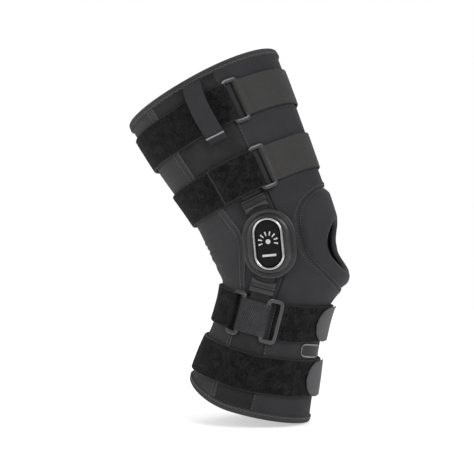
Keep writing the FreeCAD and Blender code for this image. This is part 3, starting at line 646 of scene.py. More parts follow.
# ---- patella opening's rim -----------------------------------------------------------------------
# The opening is bound with the same knit tape, rolled over a thin foam cord. An upper and a
# lower length meet at its sides.
for half, place in ((1, "upper"), (-1, "lower")):
    turn = np.radians(np.linspace(-90, 90, 91))
    angle = hole_angle * np.sin(turn)
    station = hole_edge(angle, half)
    station[[0, -1]] = hole_station
    centre = on_leg(station, angle, -1.2)
    outward = on_leg(station, angle, -0.2) - centre
    outward /= np.linalg.norm(outward, axis=-1, keepdims=True)
    along = np.gradient(centre, axis=0)
    along[[0, -1]] = (on_leg(np.full(2, hole_station + half), angle[[0, -1]], -1.2)
                      - centre[[0, -1]]) * np.array([[1], [-1]])
    along /= np.linalg.norm(along, axis=-1, keepdims=True)
    side = np.cross(outward, along)
    side /= np.linalg.norm(side, axis=-1, keepdims=True)
    round_it = np.radians(np.arange(0, 360, 18.0))[None, :, None]
    ring = centre[:, None] + (side[:, None] * np.cos(round_it) * 2.3
                              + outward[:, None] * np.sin(round_it) * 3.0) * millimetre
    uv = np.stack(np.broadcast_arrays(np.arange(91)[:, None] * 1.1, np.arange(21)[None] * 0.8), -1)
    piece = skin(f"patella_rim_{place}", ring, uv * millimetre)
    piece.data.materials.append(binding_tape)
    follow_knee(piece)


# ---- pads inside the sleeve -------------------------------------------------------------------------
# Foam in brushed tricot: a ring round the knee cap, and one pad between each hinge and the leg.
# Each is filled by a short cloth simulation from a slightly smaller shape.
brushed_tricot = knit_finish("brushed tricot over foam", "#2C2B2D", "#1D1C1E", 1.6, 1.6, 0.4, 0.9, 0.25)


def stuffed(piece, cap_mm):
    """Remeshes a pad evenly, swells it by cloth pressure for 20 frames, and caps how far a
    point may move; then one subdivision makes it smooth."""
    remesh = piece.modifiers.new("even", "REMESH")
    remesh.mode, remesh.voxel_size = "VOXEL", 0.004
    graph = bpy.context.evaluated_depsgraph_get()
    even = bpy.data.meshes.new_from_object(piece.evaluated_get(graph))
    piece.modifiers.clear()
    piece.data = even
    count = len(even.vertices)
    before = np.zeros(count * 3, np.float32)
    even.vertices.foreach_get("co", before)
    cloth = piece.modifiers.new("filling", "CLOTH")
    cloth.settings.use_pressure = True
    cloth.settings.uniform_pressure_force = 4.0
    cloth.settings.effector_weights.gravity = 0.0
    for frame_number in range(1, 21):
        scene.frame_set(frame_number)
    graph = bpy.context.evaluated_depsgraph_get()
    swollen = piece.evaluated_get(graph)
    after = np.zeros(count * 3, np.float32)
    swollen.data.vertices.foreach_get("co", after)
    piece.modifiers.clear()
    scene.frame_set(1)
    moved = (after - before).reshape(-1, 3)
    length = np.linalg.norm(moved, axis=1, keepdims=True)
    moved *= np.minimum(1, cap_mm * millimetre / np.maximum(length, 1e-9))
    even.vertices.foreach_set("co", (before + moved.ravel()).astype(np.float32))
    even.update()
    even.polygons.foreach_set("use_smooth", np.ones(len(even.polygons), bool))
    smooth = piece.modifiers.new("smooth", "SUBSURF")
    smooth.levels = smooth.render_levels = 1


def flat_map(piece):
    """Maps a pad's cloth by its place: round the leg and up it, in metres."""
    mesh = piece.data
    points = np.zeros(len(mesh.vertices) * 3, np.float32)
    mesh.vertices.foreach_get("co", points)
    station, angle = station_and_angle(points.reshape(-1, 3).astype(float))
    corner = np.zeros(len(mesh.loops), np.int32)
    mesh.loops.foreach_get("vertex_index", corner)
    layer = mesh.uv_layers.new(name="cloth")
    uv = np.stack([angle * 1.1, station], -1)[corner] * millimetre
    layer.data.foreach_set("uv", uv.astype(np.float32).ravel())


for side, word in ((-1, "lateral"), (1, "medial")):
    # Crowned oval pad: its outline is a superellipse and its faces meet in a soft edge.
    turn = np.linspace(0, 1, 25)[:, None]
    across = (turn * 2 - 1) * 24.5
    share = np.concatenate([np.linspace(-1, 1, 25), np.linspace(1, -1, 25)])[None, :]
    sign = np.concatenate([np.ones(25), -np.ones(25)])[None, :]
    tall = 31.5 * (1 - np.abs(across / 25.2) ** 4) ** 0.25
    crown = np.clip(1 - np.abs(across / 25.2) ** 6, 0, 1) ** 0.5
    crown = crown * np.clip(1 - np.abs(share) ** 6, 0.01, 1) ** 0.5
    lift = -7.65 + sign * 3.1 * crown
    pad = skin("condyle_pad_cushion_" + word, on_leg(tall * share, side * (90 + across), lift))
    stuffed(pad, 0.8)
    flat_map(pad)
    pad.data.materials.append(brushed_tricot)
    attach(pad, "housing")
    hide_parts("condyle_pad_" + word)

# Ring pad: at each turn the section runs between the opening and the pad's outer ellipse.
turn = np.radians(np.arange(0, 360, 3.0))[:, None]
section = np.radians(np.arange(0, 360, 20.0))[None, :]
reach = 0.5 + 0.42 * np.cos(section)
pad_inset, pad_half_width, pad_half_height = 1.0, 49.5, 36.5
wide = (hole_half_width + pad_inset) + (pad_half_width - hole_half_width - pad_inset) * reach
tall = (hole_half_height + pad_inset) + (pad_half_height - hole_half_height - pad_inset) * reach
aside = wide * np.cos(turn)
up = tall * np.sin(turn)
grid_station = hole_station + up / (1 + np.sqrt(np.clip(1 - (aside / 62) ** 2, 0, 1)) * 66 / bend_radius)
angle = np.degrees(np.arcsin(np.clip(aside / 62.5, -1, 1)))
ring_pad = skin("patella_buttress_cushion", on_leg(grid_station, angle, -7.4 + 3.0 * np.sin(section)),
                ring_u=True)
stuffed(ring_pad, 0.5)
flat_map(ring_pad)
ring_pad.data.materials.append(brushed_tricot)
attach(ring_pad, "housing")
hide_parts("patella_buttress")


# ---- uprights, plates, rivets and stops ------------------------------------------------------------
# Black anodised bars in the pockets, geared to each other between two stamped steel plates. The
# knee's travel is set by small acetal stops, and steel rivets are the pivots.
def moulded_finish(name, light, dark, roughness, grain_mm, bump, metallic=0.0, coat=0.0, specular=0.5):
    """Hard finish with its surface grain: noise at the grain's size for relief and roughness, and
    slow noise between two near colours."""
    made, tree = new_finish(name)
    place = add(tree, "TexCoord").outputs["Object"]
    grain = add(tree, "TexNoise", {"Vector": place, "Scale": 1000 / grain_mm / 2.5, "Detail": 4.0}).outputs[0]
    slow = add(tree, "TexNoise", {"Vector": place, "Scale": 60.0, "Detail": 3.0}).outputs[0]
    share = add(tree, "MapRange", {0: slow, 1: 0.3, 2: 0.7}).outputs[0]
    colour = add(tree, "Mix", {0: share, 6: linear(dark), 7: linear(light)}, data_type="RGBA").outputs[2]
    rough = add(tree, "MapRange", {0: grain, 1: 0.3, 2: 0.7,
                                   3: roughness - 0.06, 4: roughness + 0.06}).outputs[0]
    normal = add(tree, "Bump", {"Height": grain, "Strength": bump, "Distance": 0.0002}).outputs[0]
    hard = add(tree, "BsdfPrincipled", {"Base Color": colour, "Roughness": rough, "Normal": normal,
                                        "Metallic": metallic, "Coat Weight": coat,
                                        "Coat Roughness": 0.15, "Specular IOR Level": specular})
    add(tree, "OutputMaterial", {"Surface": hard.outputs[0]})
    return made


def dress(finish, *nodes):
    """Gives CAD nodes a finish through their objects' material slots."""
    for node in nodes:
        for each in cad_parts[node].material_slots:
            each.material = finish


black_anodised = moulded_finish("black anodised aluminium", "#2E2E30", "#222224", 0.38, 0.4, 0.15,
                                metallic=0.7)
stamped_steel = moulded_finish("zinc plated stamped steel", "#9A9B9E", "#7F8083", 0.34, 0.6, 0.2,
                               metallic=1.0)
rivet_steel = moulded_finish("satin steel rivet", "#B5B6B8", "#9C9DA0", 0.3, 0.5, 0.15, metallic=1.0)
acetal = moulded_finish("natural acetal", "#D8D6CE", "#C9C6BC", 0.42, 0.5, 0.1)
both = ("lateral", "medial")
dress(black_anodised, *[f"{place}_upright_{word}" for place in ("upper", "lower") for word in both])
dress(stamped_steel, *["hinge_plates_" + word for word in both])
dress(rivet_steel, "pivot_rivets")
dress(acetal, "hinge_stops")


# ---- hinge covers and badges -------------------------------------------------------------------------
# A moulded nylon cover snaps over each hinge: a thin flange, a step, and a soft-shouldered dome.
# A silver-lacquered bezel frames a gloss black face, and the two pull off together.
# The bezel's own inner slope is gloss black too, as painted shade in its recess.
nylon_dome = moulded_finish("moulded nylon, fine spark grain", "#262627", "#1E1E1F", 0.36, 0.35, 0.25)
silver_lacquer = moulded_finish("silver lacquer", "#C9C9CB", "#AEAEB1", 0.24, 0.5, 0.05, metallic=0.85,
                                coat=0.4)
gloss_black = moulded_finish("gloss black acrylic", "#0E0E0F", "#09090A", 0.22, 1.5, 0.02, coat=0.1,
                             specular=0.2)
pale_print = moulded_finish("pale grey print", "#BDBDBE", "#ADADAE", 0.5, 0.3, 0.1)


def on_housing(ahead, distance, up, side):
    """Points in metres on the hinge housing: ahead and up in its leaning plane, and out from
    the mid plane by a distance on one side of the knee."""
    ahead, distance, up = np.broadcast_arrays(
        *[np.asarray(value, float) for value in (ahead, distance, up)])
    flat = forward(housing_lean) * ahead[..., None] + upward(housing_lean) * up[..., None]
    return (flat + np.stack([0 * ahead, side * distance, 0 * ahead], -1)) * millimetre


def oval_ring(name, rows, side):
    """Closed profile carried round an upright oval. A row is radius, distance from the mid plane
    and the half length between the oval's two round ends."""
    radius, distance, spine = [np.array(column)[:, None] for column in zip(*rows)]
    turn = np.radians(np.concatenate([np.linspace(0, 180, 49), np.linspace(180, 360, 49)]))[None, :]
    shift = np.concatenate([np.ones(49), -np.ones(49)])[None, :]
    up = radius * np.sin(turn) + spine * shift
    return skin(name, on_housing(radius * np.cos(turn), distance, up, side), ring_u=True)


cover_profile = ((9.0, 69.8, 11.0), (9.0, 70.5, 11.0), (9.3, 70.6, 11.0), (15.5, 70.6, 11.0),
                 (15.6, 71.2, 11.0), (15.9, 71.5, 11.0), (17.0, 71.55, 10.0), (18.4, 71.45, 9.0),
                 (19.8, 71.05, 8.4), (21.0, 70.35, 8.1), (21.9, 69.4, 8.0), (22.5, 68.3, 8.0),
                 (22.8, 67.5, 8.0), (23.0, 67.0, 8.0), (23.4, 66.75, 8.0), (24.2, 66.75, 8.0),
                 (24.6, 67.0, 8.0), (25.2, 67.05, 8.0), (26.2, 66.9, 8.0), (26.8, 66.5, 8.0),
                 (27.0, 65.9, 8.0), (27.0, 65.1, 8.0), (26.8, 64.95, 8.0), (22.6, 64.95, 8.0),
                 (22.5, 66.8, 8.0), (20.8, 67.9, 8.0), (19.0, 67.9, 8.0), (12.0, 67.9, 9.5),
                 (9.2, 68.0, 11.0))
badge_spine = 10.95              # from the badge's middle to the centres of its round ends
bezel_profile = [(radius, distance, badge_spine) for radius, distance in (
    (11.7, 70.9), (11.7, 72.2), (11.9, 72.4), (13.2, 73.35), (13.6, 73.6), (14.1, 73.65), (14.6, 73.5),
    (15.1, 72.9), (15.3, 72.2), (15.3, 70.9))]
# The bezel's inner slope, inside silver_from, is gloss black as painted shade in the recess round the face.
silver_from = 13.3               # the bezel is black inside this radius and silver outside it
print_near, print_far, print_rise = 73.0, 73.05, 2.2
hub_radius, tick_inner, tick_outer, tick_half_angle = 2.4, 6.0, 10.2, math.radians(4.5)
for side, word in ((-1, "lateral"), (1, "medial")):
    cover = oval_ring("hinge_cover_shell_" + word, cover_profile, side)
    cover.data.materials.append(nylon_dome)
    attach(cover, "housing")
    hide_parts("hinge_cover_" + word)
    bezel = oval_ring("badge_bezel_ring_" + word, bezel_profile, side)
    bezel.data.materials.append(silver_lacquer)
    bezel.data.materials.append(gloss_black)
    # Faces inside silver_from take the gloss black finish: painted shade on the bezel's inner slope.
    centres = np.empty(3 * len(bezel.data.polygons))
    bezel.data.polygons.foreach_get("center", centres)
    centres = centres.reshape(-1, 3) / millimetre
    from_end = np.clip(np.abs(centres @ upward(housing_lean)) - badge_spine, 0, None)
    inside = np.hypot(centres @ forward(housing_lean), from_end) < silver_from
    bezel.data.polygons.foreach_set("material_index", inside.astype(np.int32))
    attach(bezel, word + "_badge")
    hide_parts("badge_bezel_" + word)
    # The print is a plain range dial: a hub under an arc of ticks, over a short bar.
    turn = np.radians(np.arange(0, 360, 7.5))[None, :]
    radius = np.array([0.01, hub_radius, hub_radius, 0.01])[:, None]
    distance = np.array([print_near, print_near, print_far, print_far])[:, None]
    hub = skin("badge_mark_hub_" + word, ring_u=True, grid=on_housing(
        radius * np.cos(turn), distance, print_rise + radius * np.sin(turn), side))
    tick_turn = np.radians(np.arange(-15, 196, 30))
    places = []
    for radius, shift in ((tick_inner, -1), (tick_outer, -1), (tick_outer, 1), (tick_inner, 1)):
        turn = tick_turn + shift * tick_half_angle
        places.append(on_housing(radius * np.cos(turn), print_far, print_rise + radius * np.sin(turn), side))
    top = np.stack(places, 1)
    bar_x, bar_z = np.array([-7.0, 7.0, 7.0, -7.0]), np.array([-12.6, -12.6, -10.4, -10.4])
    top = np.concatenate([top, on_housing(bar_x, print_far, bar_z, side)[None]])
    bottom = top - np.array([0, side * 0.06, 0]) * millimetre
    count = len(top)
    points = np.concatenate([top, bottom], 1).reshape(-1, 3)
    cube = np.array([(0, 1, 2, 3), (7, 6, 5, 4), (0, 4, 5, 1), (1, 5, 6, 2), (2, 6, 7, 3), (3, 7, 4, 0)])
    quads = (cube[None] + 8 * np.arange(count)[:, None, None]).reshape(-1, 4)
    mesh = bpy.data.meshes.new("badge_mark_ticks_" + word)
    mesh.from_pydata(points.tolist(), [], quads.tolist())
    if is_inside_out(points, quads):
        mesh.flip_normals()
    ticks = bpy.data.objects.new("badge_mark_ticks_" + word, mesh)
    scene.collection.objects.link(ticks)
    for mark in (hub, ticks):
        mark.data.materials.append(pale_print)
        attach(mark, word + "_badge")
dress(gloss_black, "badge_face_lateral", "badge_face_medial")


# ---- arm covers --------------------------------------------------------------------------------------
# Short moulded plates over the bars where they leave the housing. A raised end ridge, a ribbed
# groove, a second ridge and a lip along the rear side lead the straps over them.
nylon_arm = moulded_finish("moulded nylon, arm covers", "#2B2B2C", "#212122", 0.34, 0.35, 0.2)
arm_near = 64.9                  # the plates' undersides, from the mid plane
arm_half_width = 12.5
arm_start = 27.7                 # radius about the pivot of the plates' hollowed near ends


def arm_cover(name, out, end, pivot, lean, side, body, node, relief):
    """Plate over a bar: its top is a height over distance along the arm and across it. The near
    end is hollowed by the housing's round end."""
    across = np.linspace(-1, 1, 41)
    across = arm_half_width * np.sign(across) * (1 - (1 - np.abs(across)) ** 1.5)
    start = np.sqrt(arm_start ** 2 - across ** 2)
    share = np.linspace(0, 1, 70)[:, None]
    along = start + (end - start) * share
    from_end = end - along
    from_side = arm_half_width - np.abs(across)[None, :]
    lip = 3.0 * ramp(-from_side, -1.8, -1.0) * ramp(from_end, 0, 2) * (across[None, :] < 0)
    tall = np.maximum(relief(from_end), lip)
    edge = np.sqrt(np.clip(1 - (1 - np.clip(from_side / 0.9, 0, 1)) ** 2, 0.02, 1))
    far_edge = np.sqrt(np.clip(1 - (1 - np.clip(from_end / 0.8, 0, 1)) ** 2, 0.02, 1))
    tall = 0.5 + (tall - 0.5) * np.minimum(edge, far_edge)
    wide = np.broadcast_to(across, along.shape)

    def placed(distance):
        flat = pivot + forward(lean) * wide[..., None] + upward(lean) * (out * along)[..., None]
        return (flat + np.stack([0 * along, side * distance, 0 * along], -1)) * millimetre

    grid = np.concatenate([placed(arm_near + tall), placed(arm_near + 0 * tall)[:, ::-1]], 1)
    piece = skin(name, grid)
    piece.data.materials.append(nylon_arm)
    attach(piece, body)
    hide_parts(node)


def upper_relief(gap):
    """Height by distance from the plate's far end: ridge, ribbed groove, ridge, slope."""
    ribs = 0.2 * np.cos(gap * 2 * np.pi / 1.3) * ramp(gap, 3.0, 3.4) * (1 - ramp(gap, 7.2, 7.6))
    ridge = 2.7 * (1 - ramp(gap, 1.7, 2.9)) + 2.3 * ramp(gap, 7.0, 8.0) * (1 - ramp(gap, 9.0, 13.6))
    return 1.3 + ridge + ribs


def lower_relief(gap):
    """Height by distance from the far end: a broad ridge, a groove, and a lower ridge that
    slopes away to the housing."""
    return 1.2 + 2.7 * (1 - ramp(gap, 4.6, 5.6)) + 1.5 * ramp(gap, 8.2, 9.0) * (1 - ramp(gap, 12.4, 14.8))


for side, word in ((-1, "lateral"), (1, "medial")):
    arm_cover("arm_cover_thigh_" + word, 1, 38.0, upper_pivot, thigh_lean, side, "thigh",
              "upper_arm_cover_" + word, upper_relief)
    arm_cover("arm_cover_calf_" + word, -1, 39.0, lower_pivot, calf_lean, side, "calf",
              "lower_arm_cover_" + word, lower_relief)


# ---- straps ---------------------------------------------------------------------------------------
# Loop-pile straps 38 mm wide go round the back and through plastic rings, and smooth woven
# elastic closes the front of the thigh. Each end is turned round its ring's bar.
def pile_finish(name, light, dark, tuft_mm, bump):
    """Brushed loop pile: cells at the tuft's size stand up in the relief, and the gaps between them
    are painted darker as painted shade. Noise patches are painted lighter as painted sheen, standing
    for pile that leans the other way."""
    made, tree = new_finish(name)
    place = add(tree, "TexCoord").outputs["Object"]
    tufts = add(tree, "TexVoronoi", {"Vector": place, "Scale": 1000 / tuft_mm}).outputs["Distance"]
    fuzz = add(tree, "TexNoise", {"Vector": place, "Scale": 1400.0, "Detail": 3.0}).outputs[0]
    patches = add(tree, "TexNoise", {"Vector": place, "Scale": 130.0, "Detail": 4.0,
                                     "Roughness": 0.65}).outputs[0]
    # Tufts: light at each cell's middle and dark in the gaps between them, as painted shade. Patches: lighter
    # noise areas, as painted sheen of the pile's lean. Both also feed the relief.
    tuft_relief_and_gap_shade = add(tree, "MapRange", {0: tufts, 1: 0.1, 2: 0.8, 3: 0.45, 4: -0.25}).outputs[0]
    patch_relief_and_sheen = add(tree, "MapRange", {0: patches, 1: 0.35, 2: 0.68, 3: -0.1, 4: 0.65}).outputs[0]
    share = add(tree, "Math", {0: tuft_relief_and_gap_shade, 1: patch_relief_and_sheen}, operation="ADD", use_clamp=True).outputs[0]
    colour = add(tree, "Mix", {0: share, 6: linear(dark), 7: linear(light)}, data_type="RGBA").outputs[2]
    relief = add(tree, "Math", {0: share, 1: fuzz}, operation="ADD").outputs[0]
    normal = add(tree, "Bump", {"Height": relief, "Strength": bump, "Distance": 0.0008}).outputs[0]
    cloth = add(tree, "BsdfPrincipled", {"Base Color": colour, "Roughness": 0.95, "Normal": normal,
                                         "Sheen Weight": 0.12, "Sheen Roughness": 0.6,
                                         "Specular IOR Level": 0.1})
    cloth.inputs["Sheen Tint"].default_value = linear("#77767A")
    add(tree, "OutputMaterial", {"Surface": cloth.outputs[0]})
    return made


# Tufts of 0.6 mm are drawn at 1.4 mm, so that the pile shows.
loop_pile = pile_finish("brushed loop pile", "#262525", "#0B0A0B", 1.4, 0.9)
woven_elastic = knit_finish("woven elastic", "#3B3A39", "#302F2F", 1.4, 2.4, 0.2, 0.62, 0.12, mottle=0.15,
                            weave="rib")
selvedge = knit_finish("strap selvedge", "#2C2B2C", "#1F1E20", 1.2, 1.2, 0.4, 0.7, 0.15)
lines = {                        # station at the back, and rise to the front
    "upper_thigh": (143.3, 0.0), "lower_thigh": (73.0, 0.0), "upper_calf": (-75.2, 8.0),
    "lower_calf": (-129.5, 5.0)}
per_degree = 1.2                 # mm round the leg for a degree, near enough for a strap's end
thigh_ring_width, calf_ring_width, ring_bar = 20.0, 19.0, 4.4
thigh_rings = {"upper_thigh": 69.0, "lower_thigh": 71.5}
calf_front_ring, calf_rear_ring = 76.0, 111.5
slot_half = 3.0 / per_degree     # from a ring's middle to the cloth turned round its bar
thigh_bar = (thigh_ring_width / 2 - ring_bar / 2) / per_degree
calf_bar = (calf_ring_width / 2 - ring_bar / 2) / per_degree
strap_under = 0.8                # lift of a strap's underside


def strap_middle(line, angle):
    """Station of a strap's middle: level round the back, rising to the front by cosine squared."""
    middle, rise = lines[line]
    return middle + rise * np.clip(np.cos(np.radians(angle)), 0, None) ** 2


def strap(name, line, start, end, lower, wall, cloth, body, half_width=19.0,
          bumps=(), ring=False, pile_edge=True, narrow=None, hem=0.0):
    """Band along a strap line: flat, with rounded edges and ends. lower is the underside's lift
    over the pockets, bumps (angle, rise) are the ring bars that it turns round, narrow gives the
    share of its width along it, and hem is the length of selvedge at its end."""
    count = max(24, int(abs(end - start) / 0.9))
    share = np.linspace(0, 1, count)
    if not ring:
        # Points crowd at the ends, where the cloth rounds over.
        share = share - 0.42 * (share - 0.5) * (1 - (2 * share - 1) ** 2)
    angle = (start + (end - start) * share)[:, None]
    if ring:
        angle = angle[:-1]
    across = np.linspace(-1, 1, 25)
    across = np.sign(across) * (1 - (1 - np.abs(across)) ** 1.7)
    wide = half_width if narrow is None else half_width * narrow(share[:, None])
    edge_round = 1.3
    into_edge = np.clip((np.abs(across)[None, :] * wide - (wide - edge_round)) / edge_round, 0, 1)
    full = np.sqrt(np.clip(1 - into_edge ** 2, 0.04, 1))
    for at in () if ring else (start, end):
        gone = np.clip(1 - np.abs(angle - at) * per_degree / 1.7, 0, 1)
        full = full * np.sqrt(np.clip(1 - gone ** 2, 0.04, 1))
    station = strap_middle(line, angle) + across[None, :] * wide
    turned = np.broadcast_to(angle, station.shape)
    under = pocket(station, turned) + lower
    over = under + wall
    for at, rise in bumps:
        over = over + rise * np.exp(-(np.abs(angle - at) * per_degree / 4.2) ** 4)
    # Sewn edges sit a little lower than the cloth between them.
    over = over - 0.25 * np.exp(-((np.abs(across)[None, :] * wide - (wide - 2.4)) / 0.7) ** 2)
    middle, half = (over + under) / 2, (over - under) / 2 * full
    grid = np.concatenate([on_leg(station, turned, middle + half),
                           on_leg(station, turned, middle - half)[:, ::-1]], 1)
    girth = (angle if not ring else np.vstack([angle, [[end]]])) * per_degree
    rows = np.concatenate([across * half_width, across[::-1] * half_width, across[:1] * half_width])
    uv = np.stack(np.broadcast_arrays(girth, rows[None, :]), -1) * millimetre

    def cloth_of(centre):
        """The last 1 mm at each edge is selvedge, and so is the hem."""
        at, turn = station_and_angle(centre)
        edge = (np.abs(at - strap_middle(line, turn)) > half_width - 1.0) if pile_edge else 0 * at
        return np.maximum(edge, np.abs(turn - end) * per_degree < hem)

    piece = skin(name, grid, uv, ring_u=ring, faces_of=cloth_of)
    piece.data.materials.append(cloth)
    piece.data.materials.append(selvedge)
    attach(piece, body)
    return piece


for line, ring_angle in thigh_rings.items():
    turned_at, bar_at = ring_angle - slot_half, ring_angle - thigh_bar
    front = strap(line + "_elastic", line, -turned_at, turned_at, strap_under, 2.0, woven_elastic,
                  "thigh", bumps=((-bar_at, 2.8), (bar_at, 2.8)))
    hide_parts(line + "_strap_front")
    turned_at, bar_at = ring_angle + slot_half, ring_angle + thigh_bar
    back = strap(line + "_pile", line, turned_at, 360 - turned_at, strap_under, 3.0, loop_pile,
                 "thigh", bumps=((bar_at, 1.9), (360 - bar_at, 1.9)))
    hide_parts(line + "_strap_back")
turned_at, bar_at = calf_front_ring - slot_half, calf_front_ring - calf_bar
calf_front = strap("upper_calf_pile_front", "upper_calf", -turned_at, turned_at, strap_under, 3.0,
                   loop_pile, "calf", bumps=((-bar_at, 1.9), (bar_at, 1.9)))
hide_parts("upper_calf_strap_front")
turned_at, bar_at = calf_rear_ring + slot_half, calf_rear_ring + calf_bar
calf_back = strap("upper_calf_pile_back", "upper_calf", turned_at, 360 - turned_at, strap_under, 3.0,
                  loop_pile, "calf", bumps=((bar_at, 1.9), (360 - bar_at, 1.9)))
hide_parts("upper_calf_strap_back")
calf_low = strap("lower_calf_pile", "lower_calf", 0, 360, strap_under, 3.0, loop_pile, "calf",
                 ring=True)
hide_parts("lower_calf_strap")


# ---- strap ends ------------------------------------------------------------------------------------
# The free ends lie over the pile. The thigh strap's folds back from its ring with a square hem, and the
# calf straps' are smooth hook tabs with leaf-shaped tips that press on to the pile.
hook_tape = knit_finish("smooth tricot over moulded hook tape", "#4E4D4F", "#434244", 1.1, 1.1, 0.25, 0.6,
                        0.12, mottle=0.15)
tab_under = 4.6                  # lift of a tab's underside, over the pile that it lies on


def leaf(share):
    """Share of the width along a tab: full, then closing in an ellipse to its tip."""
    close = np.clip((share - 0.5) / 0.5, 0, 1)
    return np.sqrt(np.clip(1 - close ** 2, 0.004, 1))


thigh_tab = strap("lower_thigh_tab", "lower_thigh", -79.4, -110.5, tab_under, 2.0, loop_pile,
                  "lower_thigh_tab", hem=2.4)
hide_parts("lower_thigh_strap_tab")
for line in ("upper_calf", "lower_calf"):
    tab = strap(line + "_tab", line, 5.0, -29.5, tab_under, 2.0, hook_tape, line + "_tab",
                half_width=18.6, pile_edge=False, narrow=leaf)
    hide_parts(line + "_strap_tab")


# ---- calf webbing -----------------------------------------------------------------------------------
# Twill webbing 34 mm wide joins each side's two calf rings over the pocket. It is turned round a
# bar of each, so it stands a little higher at its ends.
twill_webbing = knit_finish("polyester twill webbing", "#454446", "#19181A", 3.0, 1.0, 0.8, 0.7, 0.1,
                            weave="twill")
for side, word in ((-1, "lateral"), (1, "medial")):
    web = strap("calf_webbing_" + word, "upper_calf", side * (calf_front_ring + slot_half),
                side * (calf_rear_ring - slot_half), strap_under, 2.2, twill_webbing, "calf",
                half_width=17.0, pile_edge=False,
                bumps=((side * (calf_front_ring + calf_bar), 2.4), (side * (calf_rear_ring - calf_bar), 2.4)))
    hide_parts("upper_calf_webbing_" + word)


# ---- rings ------------------------------------------------------------------------------------------
# Moulded nylon rectangles, 46 mm long, of rounded 4.4 mm bar. Each cloth end turns round a long
# bar, and between the two bars the slot stays open.
ring_nylon = moulded_finish("moulded nylon, rings", "#363637", "#2A2A2B", 0.3, 0.4, 0.15)
ring_half_length = 23.0
ring_stand, ring_half_wall = 1.0, 1.5
ring_room = 1.4                  # between a ring and the strap ends that turn round its bars


def strap_ring(name, line, angle, width, body, node):
    """Rounded rectangle carried by a rounded square section. It lies flat on the strap line, on the
    highest of six feet spaced across it on the sleeve."""
    middle = strap_middle(line, np.array(angle))
    rear, front, half = leg_form(middle)
    depth = front if abs(angle) < 90 else rear
    around = np.hypot(depth * np.sin(np.radians(angle)), half * np.cos(np.radians(angle)))
    turns = angle + np.degrees((width / 2 + ring_room) / around) * np.linspace(-1, 1, 6)
    feet = on_leg(middle, turns, ring_stand + pocket(middle, turns))
    ahead = (feet[-1] - feet[0]) / np.linalg.norm(feet[-1] - feet[0])
    up = on_leg(middle + 1, angle, ring_stand) - on_leg(middle - 1, angle, ring_stand)
    up -= ahead * (up @ ahead)
    up /= np.linalg.norm(up)
    out = np.cross(ahead, up)
    rest = (feet[0] + feet[-1]) / 2
    centre = rest + out * (((feet - rest) @ out).max() + ring_half_wall * millimetre)
    turn = np.radians(np.arange(0, 360, 5.0))
    power = 0.28
    half_wide, half_tall = width / 2 - ring_bar / 2, ring_half_length - ring_bar / 2
    path = np.stack([half_wide * np.sign(np.cos(turn)) * np.abs(np.cos(turn)) ** power,
                     half_tall * np.sign(np.sin(turn)) * np.abs(np.sin(turn)) ** power], -1)
    along = np.roll(path, -1, 0) - np.roll(path, 1, 0)
    along /= np.linalg.norm(along, axis=1, keepdims=True)
    away = np.stack([along[:, 1], -along[:, 0]], -1)
    section = np.radians(np.arange(0, 360, 22.5))
    bulge_x = ring_bar / 2 * np.sign(np.cos(section)) * np.abs(np.cos(section)) ** 0.6
    bulge_y = ring_half_wall * np.sign(np.sin(section)) * np.abs(np.sin(section)) ** 0.6
    flat = path[:, None] + away[:, None] * bulge_x[None, :, None]
    grid = centre + (flat[..., :1] * ahead + flat[..., 1:] * up + bulge_y[None, :, None] * out) * millimetre
    piece = skin(name, grid, ring_u=True)
    piece.data.materials.append(ring_nylon)
    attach(piece, body)
    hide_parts(node)


rings = (("upper_thigh_ring", "upper_thigh", thigh_rings["upper_thigh"], thigh_ring_width, "thigh"),
         ("lower_thigh_ring", "lower_thigh", thigh_rings["lower_thigh"], thigh_ring_width, "thigh"),
         ("calf_front_ring", "upper_calf", calf_front_ring, calf_ring_width, "calf"),
         ("calf_rear_ring", "upper_calf", calf_rear_ring, calf_ring_width, "calf"))
for side, word in ((-1, "lateral"), (1, "medial")):
    for name, line, angle, width, body in rings:
        strap_ring(f"{name}_frame_{word}", line, side * angle, width, body, f"{name}_{word}")


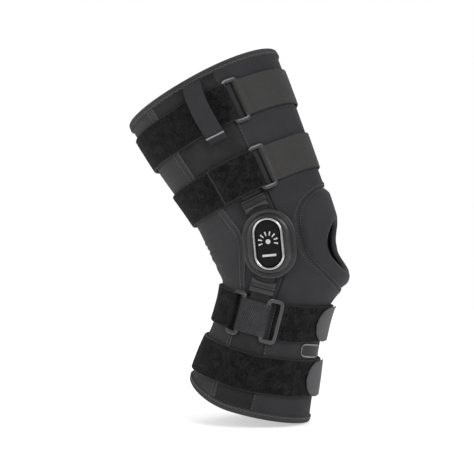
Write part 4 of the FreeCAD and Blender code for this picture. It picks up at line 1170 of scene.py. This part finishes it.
# ---- pull loops and label ------------------------------------------------------------------------------
# A folded knit tape stands out over the upper strap on each side as a finger loop, its lower end
# held by a bright bar. A blank satin label is sewn to the front of the calf.
loop_shift = 4.2                 # the loop's middle, behind the upright's
loop_low, loop_rise = 103.0, 61.0
pull_tape = knit_finish("folded knit pull tape", "#323133", "#252426", 1.3, 1.3, 0.3, 0.8, 0.15)
bright_bar = moulded_finish("bright nickel bar", "#E2E2E4", "#CFCFD2", 0.16, 0.5, 0.03, metallic=1.0)
for side, word in ((-1, "lateral"), (1, "medial")):
    share = np.linspace(0, 1, 80)
    bow = np.polyfit((0, 0.15, 0.4, 0.66, 0.88, 1), (6.6, 13.64, 22.0, 20.46, 10.0, 0.4), 5)
    along = loop_low + loop_rise * share
    stand = leg_form(along + pivot_station)[:, 2] + np.polyval(bow, share)
    lean_out = np.gradient(stand) / np.gradient(along)
    length = np.hypot(1, lean_out)
    across = np.linspace(-1, 1, 15)
    across = np.sign(across) * (1 - (1 - np.abs(across)) ** 1.7) * 9.75
    edge = np.sqrt(np.clip(1 - np.clip((np.abs(across) - 8.85) / 0.9, 0, 1) ** 2, 0.04, 1))
    # The tape is hemmed at both edges and cups slightly across its width.
    hem = 1 + 0.12 * np.exp(-((np.abs(across) - 8.2) / 0.8) ** 2)
    faces = []
    for offset in (1.75, 0.05):
        away = 0.9 + (offset - 0.9) * edge * hem
        out = stand[:, None] + away[None, :] / length[:, None]
        up = along[:, None] - away[None, :] * (lean_out / length)[:, None]
        flat = upper_pivot + forward(thigh_lean) * (across[None, :, None] - loop_shift)
        flat = flat + upward(thigh_lean) * up[..., None]
        faces.append(flat + np.stack([0 * out, side * out, 0 * out], -1))
    grid = np.concatenate([faces[0], faces[1][:, ::-1]], 1) * millimetre
    rows = np.concatenate([across, across[::-1], across[:1]])
    uv = np.stack(np.broadcast_arrays(along[:, None], rows[None, :]), -1)[..., ::-1] * millimetre
    loop = skin("pull_loop_tape_" + word, grid, uv)
    loop.data.materials.append(pull_tape)
    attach(loop, "thigh")
    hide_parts("pull_loop_" + word)
dress(bright_bar, "pull_loop_bars")

label_satin = knit_finish("printed satin, left blank", "#2F2E30", "#262527", 0.9, 0.9, 0.15, 0.5, 0.1)
label_edge = moulded_finish("woven label border", "#858486", "#6C6B6D", 0.6, 0.3, 0.2)
share = np.linspace(-1, 1, 41)
share = np.sign(share) * (1 - (1 - np.abs(share)) ** 1.6)
label_middle, label_half_angle, label_angle, label_half_height = -97.4, 16.2, -22.5, 7.0


def label_reach(aside):
    """Share of the label's half height at a share of its half width: root of 1 less the seventh
    power, and never under 0.35."""
    return np.clip((1 - np.clip(np.abs(aside), 0, 1) ** 7) ** 0.5, 0.35, 1)


across = np.concatenate([np.linspace(-1, 1, 21), np.linspace(1, -1, 21)])[None, :]
face = np.concatenate([np.full(21, 0.95), np.full(21, 0.35)])[None, :]
station = label_middle + across * (label_half_height * label_reach(share))[:, None]
angle = np.broadcast_to((label_angle + label_half_angle * share)[:, None], station.shape)


def label_cloth(centre):
    """The border is the last 1.1 mm inside the rounded edge."""
    at, turn = station_and_angle(centre)
    aside = np.abs(turn - label_angle) / label_half_angle
    tall = np.abs(at - label_middle) / (label_half_height * label_reach(aside))
    return ((aside > 0.93) | (tall > 0.84)) & (aside < 0.985) & (tall < 0.97)


uv = np.stack(np.broadcast_arrays(share[:, None] * 19.0, np.concatenate([across[0], [-1.0]])[None] * 7), -1)
label = skin("calf_label", on_leg(station, angle, face), uv * millimetre, faces_of=label_cloth)
label.data.materials.append(label_satin)
label.data.materials.append(label_edge)
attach(label, "calf")
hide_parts("size_label")
